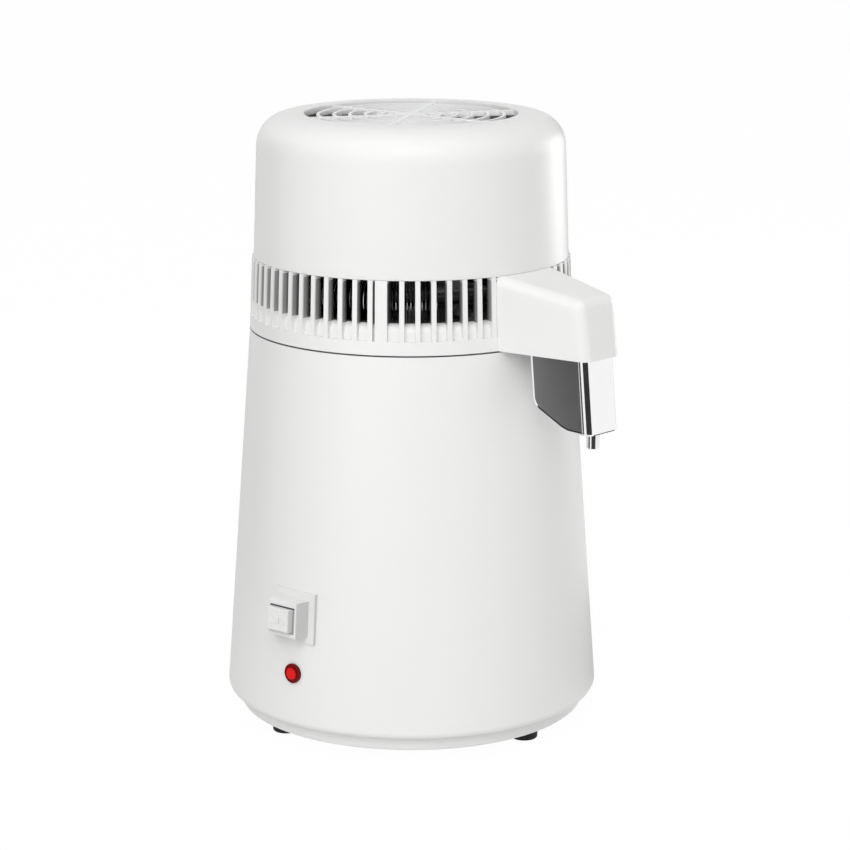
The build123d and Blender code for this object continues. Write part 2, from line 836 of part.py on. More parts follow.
# Indicator bulb: neon bulb that stands in the lens, with two leads
with BuildPart() as indicator_bulb:
    with BuildSketch(lamp_plane.offset(-fit_gap)):
        Circle(bulb_radius)
    extrude(amount=-bulb_length)
    bulb_nose = indicator_bulb.faces().sort_by(Axis(lamp_plane.origin, lamp_plane.z_dir))[-1]
    fillet(bulb_nose.edges(), radius=bulb_radius / 2)
    with BuildSketch(lamp_plane.offset(-fit_gap - bulb_length)):
        with GridLocations(bulb_radius, 0, 2, 1):
            Circle(bulb_lead_radius)
    extrude(amount=-bulb_lead_length)
indicator_bulb.part.label = "indicator_bulb"
export_step(indicator_bulb.part, "parts/indicator_bulb.step")

# Mains inlet: flanged socket on a flat pad at the rear, with two bevelled corners
blade_points = [
    (-blade_spacing / 2, -blade_stagger / 2),
    (blade_spacing / 2, -blade_stagger / 2),
    (0, blade_stagger / 2),
]
inlet_front = pad_lift + inlet_flange
with BuildPart() as mains_inlet:
    with BuildSketch(inlet_plane.offset(pad_lift)):
        RectangleRounded(inlet_flange_width, inlet_flange_height, inlet_flange_round)
    extrude(amount=inlet_flange)
    with BuildSketch(inlet_plane.offset(pad_lift)):
        Rectangle(inlet_width, inlet_tall)
    extrude(amount=-inlet_depth)
    with BuildSketch(inlet_plane.offset(inlet_front)) as socket_section:
        Rectangle(socket_width, socket_height)
        chamfer(socket_section.vertices().group_by(Axis.Y)[-1], length=socket_bevel)
    extrude(amount=-socket_depth, mode=Mode.SUBTRACT)
    with BuildSketch(inlet_plane.offset(inlet_front)):
        with Locations(*blade_points):
            Rectangle(blade_width + 2 * shaft_gap, blade_height + 2 * shaft_gap)
    extrude(amount=-(inlet_flange + inlet_depth + overrun), mode=Mode.SUBTRACT)
mains_inlet.part.label = "mains_inlet"
export_step(mains_inlet.part, "parts/mains_inlet.step")

# Inlet pins: three flat blades through the socket's floor
with BuildPart() as inlet_pins:
    with BuildSketch(inlet_plane.offset(inlet_front - blade_setback)):
        with Locations(*blade_points):
            Rectangle(blade_width, blade_height)
    extrude(amount=-(inlet_flange + inlet_depth - blade_setback + blade_tail))
inlet_pins.part.label = "inlet_pins"
export_step(inlet_pins.part, "parts/inlet_pins.step")

# Spout: a tapering hood with a leaning front, as a solid drawn in by a wall's thickness
spout_plane = radial_plane(spout_azimuth)
spout_axis = Axis((0, 0, 0), direction(spout_azimuth))
across_axis = Axis((0, 0, 0), sideways(spout_azimuth))
spout_taper = (spout_root_width - spout_tip_width) / 2 / (spout_reach - rib_inner_radius)


def spout_form(inset, root, low_points, front_low):
    """Spout from a root radius to its tip, inside its outer faces by inset, over a lower outline."""
    lean = math.tan(math.radians(spout_lean))
    slope = math.tan(math.radians(spout_slope))
    tip = spout_reach - inset / math.cos(math.radians(spout_lean))
    roof = ring_top - inset / math.cos(math.radians(spout_slope))
    top_at_tip = roof - (tip - dome_base_radius) * slope
    front_top = top_at_tip + (top_at_tip - ring_bottom) * lean * slope / (1 - lean * slope)
    half_tip = spout_tip_width / 2 - inset * math.hypot(1, spout_taper)
    half_root = half_tip + spout_taper * (spout_reach - root)
    half_ahead = half_tip - spout_taper * overrun
    with BuildPart() as form:
        with BuildSketch(spout_plane):
            with BuildLine():
                Polyline(
                    *low_points,
                    (tip - (front_low - ring_bottom) * lean, front_low),
                    (tip - (front_top - ring_bottom) * lean, front_top),
                    (root, roof + (dome_base_radius - root) * slope),
                    close=True,
                )
            make_face()
        extrude(amount=spout_root_width, both=True)
        with BuildSketch(Plane(origin=(0, 0, 0), x_dir=direction(spout_azimuth), z_dir=(0, 0, 1))):
            with BuildLine():
                Polyline(
                    (root, -half_root),
                    (spout_reach + overrun, -half_ahead),
                    (spout_reach + overrun, half_ahead),
                    (root, half_root),
                    close=True,
                )
            make_face()
        extrude(amount=dome_top, mode=Mode.INTERSECT)
        front = form.faces().sort_by(spout_axis)[-1]
        roof_face = form.faces().filter_by(GeomType.PLANE).sort_by(lambda face: face.normal_at().Z)[-1]
        upright = front.edges().sort_by(across_axis)
        rounded = [upright[0], upright[-1]] + [
            edge for edge in roof_face.edges()
            if root + overrun < edge.center().dot(spout_axis.direction) < spout_reach
        ]
        fillet(rounded, radius=spout_round - inset)
    return form.part


channel_root = body_top_radius + spout_dam
channel_low = ring_bottom - overrun
throat_root = rib_inner_radius - overrun
spout_hood = spout_form(0, rib_inner_radius, [(rib_inner_radius, ring_bottom)], ring_bottom)
spout_channel = spout_form(spout_wall, channel_root, [(channel_root, channel_low)], channel_low)
spout_throat = spout_form(spout_wall, throat_root, [(throat_root, sill_top)], sill_top)

# Vent ring: band, set-back sill, ribs, three screw pillars, spigot for the dome, and the spout
rib_pitch = 360 / rib_places
pillar_azimuths = [
    spout_azimuth - pillar_rib * rib_pitch - pillar_shift,
    spout_azimuth + pillar_rib * rib_pitch + pillar_shift,
    spout_azimuth + 180,
]
pillar_ribs = (pillar_rib, rib_places - pillar_rib, rib_places // 2)
rib_numbers = [k for k in range(first_rib, rib_places - first_rib + 1) if k not in pillar_ribs]
rib_planes = [radial_plane(spout_azimuth + k * rib_pitch) for k in rib_numbers]
pillar_planes = [radial_plane(azimuth) for azimuth in pillar_azimuths]
pillar_points = [direction(azimuth) * pillar_screw_circle for azimuth in pillar_azimuths]
sill_middle = sill_radius - ring_wall / 2
sill_crown = sill_radius - sill_round
shelf_middle = shelf_level - ring_wall / 2
with BuildPart() as vent_ring:
    with BuildSketch(Plane.XZ):
        with BuildLine():
            Polyline(
                (sill_crown, sill_top),
                (sill_crown - sill_lip, sill_top),
                (sill_crown - sill_lip, sill_top - ring_wall),
                (sill_crown, sill_top - ring_wall),
            )
            RadiusArc((sill_crown, sill_top - ring_wall),
                      (sill_radius - ring_wall, sill_top - sill_round), sill_round - ring_wall)
            Polyline(
                (sill_radius - ring_wall, sill_top - sill_round),
                (sill_radius - ring_wall, ring_flange_top),
                (ring_flange_radius, ring_flange_top),
                (ring_flange_radius, ring_flange_level),
                (body_top_radius - ring_wall, ring_flange_level),
                (body_top_radius - ring_wall, ring_bottom),
                (body_top_radius, ring_bottom),
                (ring_radius(shelf_level), shelf_level),
                (sill_radius, shelf_level),
                (sill_radius, sill_top - sill_round),
            )
            RadiusArc((sill_radius, sill_top - sill_round), (sill_crown, sill_top), -sill_round)
        make_face()
        with BuildLine():
            Polyline(
                (spigot_radius - spigot_wall, ring_top),
                (spigot_radius, ring_top),
                (spigot_radius, spigot_top),
                (spigot_radius - spigot_wall, spigot_top),
                close=True,
            )
        make_face()
    revolve(axis=Axis.Z)
    with BuildSketch(*rib_planes):
        with BuildLine():
            Polyline(
                (sill_middle, shelf_middle),
                (ring_radius(shelf_middle), shelf_middle),
                (ring_top_radius, ring_top),
                (spigot_radius, ring_top),
                (spigot_radius, ring_top + spigot_root),
                (rib_inner_radius, ring_top + spigot_root),
                (rib_inner_radius, sill_top - ring_wall / 2),
                (sill_middle, sill_top - sill_round),
                close=True,
            )
        make_face()
    extrude(amount=rib_thickness / 2, both=True)
    with BuildSketch(*pillar_planes):
        with BuildLine():
            Polyline(
                (pillar_inner_radius, ring_flange_level),
                (sill_middle, ring_flange_level),
                (sill_middle, shelf_middle),
                (ring_radius(shelf_middle), shelf_middle),
                (ring_top_radius, ring_top),
                (spigot_radius, ring_top),
                (spigot_radius, spigot_top),
                (pillar_inner_radius, spigot_top),
                close=True,
            )
        make_face()
    extrude(amount=pillar_width / 2, both=True)
    add(spout_hood)
    with BuildSketch(Plane.XY.offset(ring_flange_level)):
        Circle(body_top_radius - ring_wall)
    extrude(amount=-steel_sheet - gasket_thickness, mode=Mode.SUBTRACT)
    add(spout_channel, mode=Mode.SUBTRACT)
    add(spout_throat, mode=Mode.SUBTRACT)
    with BuildSketch(Plane.XY.offset(ring_top)):
        Circle(spout_reach)
        Circle(spigot_radius, mode=Mode.SUBTRACT)
    extrude(amount=ring_height, mode=Mode.SUBTRACT)
    with BuildSketch(Plane.XY.offset(ring_flange_level)):
        with Locations(*pillar_points):
            Circle(screw_radius + shaft_gap)
        with PolarLocations(lid_stud_circle, lid_stud_count, start_angle=lid_stud_azimuth):
            Circle(stud_radius + shaft_gap)
    extrude(amount=spigot_top - ring_flange_level, mode=Mode.SUBTRACT)
    with BuildSketch(Plane.XY.offset(ring_flange_level)):
        with Locations(*pillar_points):
            Circle(screw_head_radius + fit_gap)
    extrude(amount=screw_head_height + fit_gap, mode=Mode.SUBTRACT)
vent_ring.part.label = "vent_ring"
export_step(vent_ring.part, "parts/vent_ring.step")

# Head screws: each runs up a pillar into a boss of the dome
with BuildPart() as head_screws:
    with BuildSketch(Plane.XY.offset(ring_flange_level + fit_gap)):
        with Locations(*pillar_points):
            Circle(screw_head_radius)
    extrude(amount=screw_head_height)
    with BuildSketch(Plane.XY.offset(ring_flange_level + fit_gap)):
        with Locations(*pillar_points):
            Circle(screw_radius)
    extrude(amount=spigot_top + dome_boss_height * 2 / 3 - ring_flange_level)
head_screws.part.label = "head_screws"
export_step(head_screws.part, "parts/head_screws.step")

# Dome cover: tapered shell with a round shoulder, a grille of rings and spokes, and three screw bosses
with BuildPart() as dome_form:
    with BuildSketch(Plane.XZ):
        with BuildLine():
            Polyline(
                (0, ring_top),
                (dome_base_radius + fit_gap, ring_top),
                (dome_top_radius + fit_gap, dome_top),
                (0, dome_top),
                close=True,
            )
        make_face()
    revolve(axis=Axis.Z)

ceiling = grille_level - grille_thickness
dome_boss_top = spigot_top + dome_boss_height
with BuildPart() as dome_cover:
    with BuildSketch(Plane.XZ) as dome_section:
        with BuildLine():
            Polyline(
                (dome_base_radius, ring_top),
                (dome_top_radius, dome_top),
                (grille_radius, dome_top),
                (grille_radius, grille_level),
                (0, grille_level),
                (0, ceiling),
                (dome_radius(ceiling) - dome_wall, ceiling),
                (dome_base_radius - dome_wall, ring_top),
                close=True,
            )
        make_face()
        fillet(dome_section.vertices().group_by(Axis.Y)[-1].sort_by(Axis.X)[-1], radius=dome_round)
        inner_corner = dome_section.vertices().filter_by_position(
            Axis.Y, ceiling - shaft_gap, ceiling + shaft_gap).sort_by(Axis.X)[-1]
        fillet(inner_corner, radius=dome_round - dome_wall)
    revolve(axis=Axis.Z)
    with BuildSketch(Plane.XY.offset(grille_level)):
        for ring in range(grille_rings):
            slot_radius = grille_radius - ring * grille_pitch
            Circle(slot_radius)
            Circle(slot_radius - grille_pitch + grille_rib, mode=Mode.SUBTRACT)
        with PolarLocations(grille_radius / 2, spoke_count, start_angle=spoke_azimuth):
            Rectangle(grille_radius + overrun, spoke_width, mode=Mode.SUBTRACT)
    extrude(amount=-(grille_thickness + overrun), mode=Mode.SUBTRACT)
    with BuildSketch(Plane.XY.offset(spigot_top)):
        with Locations(*pillar_points):
            Circle(pillar_width / 2)
    extrude(amount=dome_boss_height)
    for pillar_plane in pillar_planes:
        with BuildSketch(pillar_plane):
            with BuildLine():
                Polyline(
                    (pillar_screw_circle, spigot_top),
                    (dome_radius(spigot_top) - dome_wall / 2, spigot_top),
                    (dome_radius(dome_boss_top) - dome_wall / 2, dome_boss_top),
                    (pillar_screw_circle, dome_boss_top),
                    close=True,
                )
            make_face()
        extrude(amount=dome_web / 2, both=True)
    with BuildSketch(Plane.XY.offset(spigot_top)):
        with Locations(*pillar_points):
            Circle(screw_radius + shaft_gap)
    extrude(amount=dome_boss_height - screw_radius, mode=Mode.SUBTRACT)
    with BuildSketch(fan_inlet_plane.offset(dome_wall)):
        SlotOverall(fan_inlet_width + 2 * fit_gap, fan_inlet_tall + 2 * fit_gap)
    extrude(amount=-3 * dome_wall, mode=Mode.SUBTRACT)
dome_cover.part.label = "dome_cover"
export_step(dome_cover.part, "parts/dome_cover.step")

# Steam lid: pressed steel plate with a raised plateau, a steam hole and weld studs
riser_point = direction(coil_start) * coil_circle - sideways(coil_start) * coil_bend
foot_stud_circle = bracket_radius + bracket_foot / 2
with BuildPart() as steam_lid:
    with BuildSketch(Plane.XZ):
        with BuildLine():
            Polyline(
                (0, lid_plateau - steel_sheet),
                (lid_plateau_radius - steel_sheet, lid_plateau - steel_sheet),
                (lid_plateau_radius + lid_draft - steel_sheet, lid_level),
                (gasket_outer_radius, lid_level),
                (gasket_outer_radius, ring_flange_level),
                (lid_plateau_radius + lid_draft, ring_flange_level),
                (lid_plateau_radius, lid_plateau),
                (0, lid_plateau),
                close=True,
            )
        make_face()
    revolve(axis=Axis.Z)
    with BuildSketch(Plane.XY.offset(ring_flange_level)):
        with PolarLocations(lid_stud_circle, lid_stud_count, start_angle=lid_stud_azimuth):
            Circle(stud_radius)
    extrude(amount=ring_flange + nut_height + stud_tail)
    with BuildSketch(Plane.XY.offset(lid_plateau)):
        with PolarLocations(foot_stud_circle, bracket_legs, start_angle=bracket_leg_azimuth):
            Circle(stud_radius)
    extrude(amount=bracket_sheet + nut_height + stud_tail)
    with BuildSketch(Plane.XY.offset(lid_level)):
        with Locations(riser_point):
            Circle(coil_tube + shaft_gap)
    extrude(amount=lid_plateau_height + 2 * steel_sheet, mode=Mode.SUBTRACT)
steam_lid.part.label = "steam_lid"
export_step(steam_lid.part, "parts/steam_lid.step")

# Lid gasket: flat silicone ring under the lid's edge
with BuildPart() as lid_gasket:
    with BuildSketch(Plane.XY.offset(lid_level)):
        Circle(gasket_outer_radius)
        Circle(gasket_inner_radius, mode=Mode.SUBTRACT)
    extrude(amount=-gasket_thickness)
lid_gasket.part.label = "lid_gasket"
export_step(lid_gasket.part, "parts/lid_gasket.step")

# Lid nuts: on the studs that hold the lid to the ring and the fan bracket to the lid
with BuildPart() as lid_nuts:
    with BuildSketch(Plane.XY.offset(ring_flange_top)):
        with PolarLocations(lid_stud_circle, lid_stud_count, start_angle=lid_stud_azimuth):
            RegularPolygon(nut_radius, 6)
            Circle(stud_radius + shaft_gap, mode=Mode.SUBTRACT)
    extrude(amount=nut_height)
    with BuildSketch(Plane.XY.offset(lid_plateau + bracket_sheet)):
        with PolarLocations(foot_stud_circle, bracket_legs, start_angle=bracket_leg_azimuth):
            RegularPolygon(nut_radius, 6)
            Circle(stud_radius + shaft_gap, mode=Mode.SUBTRACT)
    extrude(amount=nut_height)
lid_nuts.part.label = "lid_nuts"
export_step(lid_nuts.part, "parts/lid_nuts.step")

# Condenser coil: one steel tube from the lid, round the head and out through the spout
coil_level = Vector(0, 0, coil_height)
coil_first = direction(coil_start) * coil_circle + coil_level
coil_middle = direction((coil_start + coil_end) / 2) * coil_circle + coil_level
coil_last = direction(coil_end) * coil_circle + coil_level
riser_foot = riser_point + Vector(0, 0, lid_plateau - steel_sheet)
riser_head = riser_point + Vector(0, 0, coil_height - coil_bend)
leave = sideways(coil_end)
across = across_axis.direction
turn_point = coil_last + leave * (-coil_last.dot(across) / leave.dot(across))
outlet_point = direction(spout_azimuth) * coil_outlet_circle + Vector(0, 0, coil_height - coil_drop)
outlet_end = Vector(outlet_point.X, outlet_point.Y, ring_bottom + cup_lift - coil_outlet_dip)
with BuildPart() as condenser_coil:
    with BuildLine() as coil_path:
        Line(riser_foot, riser_head)
        TangentArc(riser_head, coil_first, tangent=(0, 0, 1))
        ThreePointArc(coil_first, coil_middle, coil_last)
        FilletPolyline(coil_last, turn_point, outlet_point, outlet_end, radius=coil_bend)
    coil_line = coil_path.wires()[0]
    with BuildSketch(Plane(origin=riser_foot, z_dir=(0, 0, 1))):
        Circle(coil_tube)
        Circle(coil_tube - coil_wall, mode=Mode.SUBTRACT)
    sweep(path=coil_line)
coil_points = [coil_line @ (i / 200) for i in range(201)]
print("condenser coil least gap", round(least_gap(coil_points, 20, 2 * coil_tube), 2))
coil_section = math.pi * (coil_tube ** 2 - (coil_tube - coil_wall) ** 2)
print("condenser coil volume share", round(condenser_coil.part.volume / (coil_section * coil_line.length), 4))
condenser_coil.part.label = "condenser_coil"
export_step(condenser_coil.part, "parts/condenser_coil.step")

# Condenser fins: separate discs pressed on the coil's round stretch
fin_step = (coil_end - coil_start - 2 * fin_margin) / (fin_count - 1)
fin_planes = [radial_plane(coil_start + fin_margin + i * fin_step) for i in range(fin_count)]
with BuildPart() as condenser_fins:
    with BuildSketch(*fin_planes):
        with Locations((coil_circle, coil_height)):
            Circle(fin_radius)
            Circle(coil_tube + shaft_gap, mode=Mode.SUBTRACT)
    extrude(amount=fin_thickness / 2, both=True)
condenser_fins.part.label = "condenser_fins"
export_step(condenser_fins.part, "parts/condenser_fins.step")

# Coil clips: upright strips between fins, with a foot on the lid and a saddle under the tube
clip_planes = [radial_plane(coil_start + fin_margin + (gap + 0.5) * fin_step) for gap in clip_gaps]
with BuildPart() as coil_clips:
    with BuildSketch(*clip_planes):
        with BuildLine():
            Polyline(
                (coil_circle - clip_width / 2, lid_plateau),
                (coil_circle + clip_width / 2, lid_plateau),
                (coil_circle + clip_width / 2, coil_height),
                (coil_circle - clip_width / 2, coil_height),
                close=True,
            )
        make_face()
        with Locations((coil_circle, coil_height)):
            Circle(coil_tube + shaft_gap, mode=Mode.SUBTRACT)
    extrude(amount=clip_sheet / 2, both=True)
    for clip_plane in clip_planes:
        with BuildSketch(clip_plane):
            with BuildLine():
                Polyline(
                    (coil_circle - clip_width / 2, lid_plateau),
                    (coil_circle + clip_width / 2, lid_plateau),
                    (coil_circle + clip_width / 2, lid_plateau + clip_sheet),
                    (coil_circle - clip_width / 2, lid_plateau + clip_sheet),
                    close=True,
                )
            make_face()
        extrude(amount=clip_foot)
coil_clips.part.label = "coil_clips"
export_step(coil_clips.part, "parts/coil_clips.step")

# Fan bracket: pressed plate on three legs with feet on the lid
leg_planes = [radial_plane(bracket_leg_azimuth + 360 * i / bracket_legs) for i in range(bracket_legs)]
motor_screw_points = [(-motor_screw_offset, 0), (motor_screw_offset, 0)]
with BuildPart() as fan_bracket:
    with BuildSketch(Plane.XY.offset(bracket_top)):
        Circle(bracket_radius)
        Circle(bracket_hole, mode=Mode.SUBTRACT)
        with Locations(*motor_screw_points):
            Circle(screw_radius + shaft_gap, mode=Mode.SUBTRACT)
    extrude(amount=-bracket_sheet)
    with BuildSketch(*leg_planes):
        with BuildLine():
            Polyline(
                (bracket_radius - bracket_sheet, bracket_top),
                (bracket_radius, bracket_top),
                (bracket_radius, lid_plateau + bracket_sheet),
                (bracket_radius + bracket_foot, lid_plateau + bracket_sheet),
                (bracket_radius + bracket_foot, lid_plateau),
                (bracket_radius - bracket_sheet, lid_plateau),
                close=True,
            )
        make_face()
    extrude(amount=bracket_leg_width / 2, both=True)
    with BuildSketch(Plane.XY.offset(lid_plateau)):
        with PolarLocations(foot_stud_circle, bracket_legs, start_angle=bracket_leg_azimuth):
            Circle(stud_radius + shaft_gap)
    extrude(amount=bracket_sheet, mode=Mode.SUBTRACT)
fan_bracket.part.label = "fan_bracket"
export_step(fan_bracket.part, "parts/fan_bracket.step")

# Motor core: laminated block with the rotor's bore and a window for the winding
with BuildPart() as motor_core:
    with BuildSketch(Plane.XY.offset(core_level)):
        with Locations((0, (core_back - core_front) / 2)):
            Rectangle(core_width, core_back + core_front)
        with Locations((0, core_back - yoke_depth - window_depth / 2)):
            Rectangle(window_width, window_depth, mode=Mode.SUBTRACT)
        Circle(rotor_radius + running_gap, mode=Mode.SUBTRACT)
        with Locations(*motor_screw_points):
            Circle(screw_radius + shaft_gap, mode=Mode.SUBTRACT)
    extrude(amount=core_height)
motor_core.part.label = "motor_core"
export_step(motor_core.part, "parts/motor_core.step")

# Motor winding: coil on a former round the core's yoke
winding_depth = yoke_depth + 2 * winding_margin
with BuildPart() as motor_winding:
    yoke_middle = (0, core_back - yoke_depth / 2, core_level + core_height / 2)
    with BuildSketch(Plane(origin=yoke_middle, x_dir=(0, 1, 0), z_dir=(1, 0, 0))):
        RectangleRounded(winding_depth, core_height + 2 * winding_margin, winding_margin / 2)
        Rectangle(yoke_depth + 2 * fit_gap, core_height + 2 * fit_gap, mode=Mode.SUBTRACT)
    extrude(amount=winding_width / 2, both=True)
motor_winding.part.label = "motor_winding"
export_step(motor_winding.part, "parts/motor_winding.step")

# Bearing caps: bridges below and above the core that carry the shaft
with BuildPart() as bearing_caps:
    for seat, bar in ((bracket_top, bracket_top), (core_top, cap_top - cap_bar)):
        with BuildSketch(Plane.XY.offset(bar)):
            SlotOverall(core_width, cap_bar_width)
        extrude(amount=cap_bar)
        with BuildSketch(Plane.XY.offset(seat)):
            Circle(cap_boss_radius)
            with Locations(*motor_screw_points):
                Rectangle(cap_foot, cap_foot)
        extrude(amount=cap_height)
        with BuildSketch(Plane.XY.offset(seat)):
            Circle(motor_shaft_radius + shaft_gap)
            with Locations(*motor_screw_points):
                Circle(screw_radius + shaft_gap)
        extrude(amount=cap_height, mode=Mode.SUBTRACT)
bearing_caps.part.label = "bearing_caps"
export_step(bearing_caps.part, "parts/bearing_caps.step")

# Motor screws: two long screws through caps and core into the bracket
with BuildPart() as motor_screws:
    with BuildSketch(Plane.XY.offset(cap_top)):
        with Locations(*motor_screw_points):
            Circle(screw_head_radius)
    extrude(amount=screw_head_height)
    with BuildSketch(Plane.XY.offset(cap_top)):
        with Locations(*motor_screw_points):
            Circle(screw_radius)
    extrude(amount=-(cap_top - bracket_top + bracket_sheet + stud_tail))
motor_screws.part.label = "motor_screws"
export_step(motor_screws.part, "parts/motor_screws.step")

# Motor rotor: turns in the core's bore
with BuildPart() as motor_rotor:
    with BuildSketch(Plane.XY.offset(core_level + rotor_margin)):
        Circle(rotor_radius)
        Circle(motor_shaft_radius + shaft_gap, mode=Mode.SUBTRACT)
    extrude(amount=core_height - 2 * rotor_margin)
motor_rotor.part.label = "motor_rotor"
export_step(motor_rotor.part, "parts/motor_rotor.step")

# Fan shaft: from the lower bearing cap up into the fan's hub
with BuildPart() as fan_shaft:
    with BuildSketch(Plane.XY.offset(bracket_top + fit_gap)):
        Circle(motor_shaft_radius)
    extrude(amount=hub_level + hub_height - hub_round - hub_stop - bracket_top - fit_gap)
fan_shaft.part.label = "fan_shaft"
export_step(fan_shaft.part, "parts/fan_shaft.step")

# Fan impeller: domed hub with twisted blades
blade_level = hub_level + hub_height / 2
with BuildPart() as fan_blade:
    for reach, chord, pitch in (
        (hub_radius - blade_root_inset, blade_root_chord, blade_root_pitch),
        (fan_radius, blade_tip_chord, blade_tip_pitch),
    ):
        chord_line = Vector(0, math.cos(math.radians(pitch)), math.sin(math.radians(pitch)))
        with BuildSketch(Plane(origin=(reach, 0, blade_level), x_dir=chord_line, z_dir=(1, 0, 0))):
            RectangleRounded(chord, blade_thickness, blade_thickness / 4)
    loft()

with BuildPart() as fan_impeller:
    with BuildSketch(Plane.XY.offset(hub_level)):
        Circle(hub_radius)
    extrude(amount=hub_height)
    fillet(fan_impeller.edges().group_by(Axis.Z)[-1], radius=hub_round)
    with PolarLocations(0, blade_count):
        add(fan_blade.part)
    with BuildSketch(Plane.XY.offset(hub_level)):
        Circle(motor_shaft_radius + shaft_gap)
    extrude(amount=hub_height - hub_round - hub_stop, mode=Mode.SUBTRACT)
fan_impeller.part.label = "fan_impeller"
export_step(fan_impeller.part, "parts/fan_impeller.step")

# Fan inlet: small two-pin socket at the rear of the head
fan_pin_points = [(-fan_pin_spacing / 2, 0), (fan_pin_spacing / 2, 0)]
with BuildPart() as fan_inlet:
    with BuildSketch(fan_inlet_plane.offset(fan_flange)):
        SlotOverall(fan_flange_width, fan_flange_height)
    extrude(amount=-(fan_flange + fan_inlet_seat))
    add(dome_form.part, mode=Mode.SUBTRACT)
    with BuildSketch(fan_inlet_plane.offset(fan_flange)):
        SlotOverall(fan_inlet_width, fan_inlet_tall)
    extrude(amount=-(fan_flange + fan_inlet_depth))
    with BuildSketch(fan_inlet_plane.offset(fan_flange)):
        SlotOverall(fan_socket_width, fan_socket_height)
    extrude(amount=-fan_socket_depth, mode=Mode.SUBTRACT)
    with BuildSketch(fan_inlet_plane.offset(fan_flange)):
        with Locations(*fan_pin_points):
            Circle(fan_pin_radius + shaft_gap)
    extrude(amount=-(fan_flange + fan_inlet_depth + overrun), mode=Mode.SUBTRACT)
fan_inlet.part.label = "fan_inlet"
export_step(fan_inlet.part, "parts/fan_inlet.step")

# Fan inlet pins: two round pins through the socket's floor
with BuildPart() as fan_inlet_pins:
    with BuildSketch(fan_inlet_plane.offset(fan_flange - fan_pin_setback)):
        with Locations(*fan_pin_points):
            Circle(fan_pin_radius)
    extrude(amount=-(fan_flange + fan_inlet_depth - fan_pin_setback + fan_pin_tail))
fan_inlet_pins.part.label = "fan_inlet_pins"
export_step(fan_inlet_pins.part, "parts/fan_inlet_pins.step")

# Filter cup: folded steel cup with a leaning front and a swept back, open on top
cup_tilt = math.tan(math.radians(cup_lean))
cup_top = ring_bottom + cup_lift
cup_bottom = ring_bottom - cup_depth
cup_bend = (cup_back + cup_back_height * cup_tilt, ring_bottom - cup_back_height)
cup_heel = (cup_bend[0] + cup_slope_length * math.cos(math.radians(cup_slope)),
            cup_bend[1] - cup_slope_length * math.sin(math.radians(cup_slope)))
cup_toe = (cup_front + cup_depth * cup_tilt, cup_bottom)


def cup_form(inset, rise):
    """Cup as a solid inside its outer faces by inset, with its mouth raised by rise."""
    mouth = cup_top + rise + inset
    swing = (mouth - ring_bottom) * cup_tilt
    with BuildPart() as form:
        with BuildSketch(spout_plane) as section:
            with BuildLine():
                Polyline(
                    (cup_back - swing, mouth),
                    cup_bend,
                    cup_heel,
                    cup_toe,
                    (cup_front - swing, mouth),
                    close=True,
                )
            make_face()
            for corner, round_radius in ((cup_bend, cup_back_round), (cup_heel, cup_floor_round)):
                fillet(section.vertices().sort_by_distance(Vector(*corner))[0], radius=round_radius)
            if inset > 0:
                offset(amount=-inset, kind=Kind.INTERSECTION, mode=Mode.REPLACE)
        extrude(amount=cup_width / 2 - inset, both=True)
        front = form.faces().filter_by(GeomType.PLANE).sort_by(spout_axis)[-1]
        upright = front.edges().sort_by(across_axis)
        fillet([upright[0], upright[-1]], radius=cup_corner - inset)
        front = form.faces().filter_by(GeomType.PLANE).sort_by(spout_axis)[-1]
        fillet(front.edges().sort_by(Axis.Z)[0], radius=cup_edge - inset)
    return form.part


cup_hollow = cup_form(cup_sheet, overrun)
with BuildPart() as filter_cup:
    add(cup_form(0, 0))
    add(cup_hollow, mode=Mode.SUBTRACT)
    with BuildSketch(Plane.XY.offset(cup_bottom - overrun)):
        with Locations(direction(spout_azimuth) * outlet_circle):
            Circle(outlet_radius + shaft_gap)
    extrude(amount=overrun + outlet_stand, mode=Mode.SUBTRACT)
filter_cup.part.label = "filter_cup"
export_step(filter_cup.part, "parts/filter_cup.step")

# Outlet tube: short nozzle through the cup's floor
with BuildPart() as outlet_tube:
    with BuildSketch(Plane.XY.offset(cup_bottom - outlet_length)):
        with Locations(direction(spout_azimuth) * outlet_circle):
            Circle(outlet_radius)
            Circle(outlet_radius - outlet_wall, mode=Mode.SUBTRACT)
    extrude(amount=outlet_length + outlet_stand)
outlet_tube.part.label = "outlet_tube"
export_step(outlet_tube.part, "parts/outlet_tube.step")
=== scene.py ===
"""Looks of the countertop water distiller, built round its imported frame. Lengths are in metres, in the frame's
own axes: the floor is at z 0, the spout points close to -Y, the switch along -X and the inlets along +Y."""

import json
import math

import bpy
from mathutils import Matrix, Vector


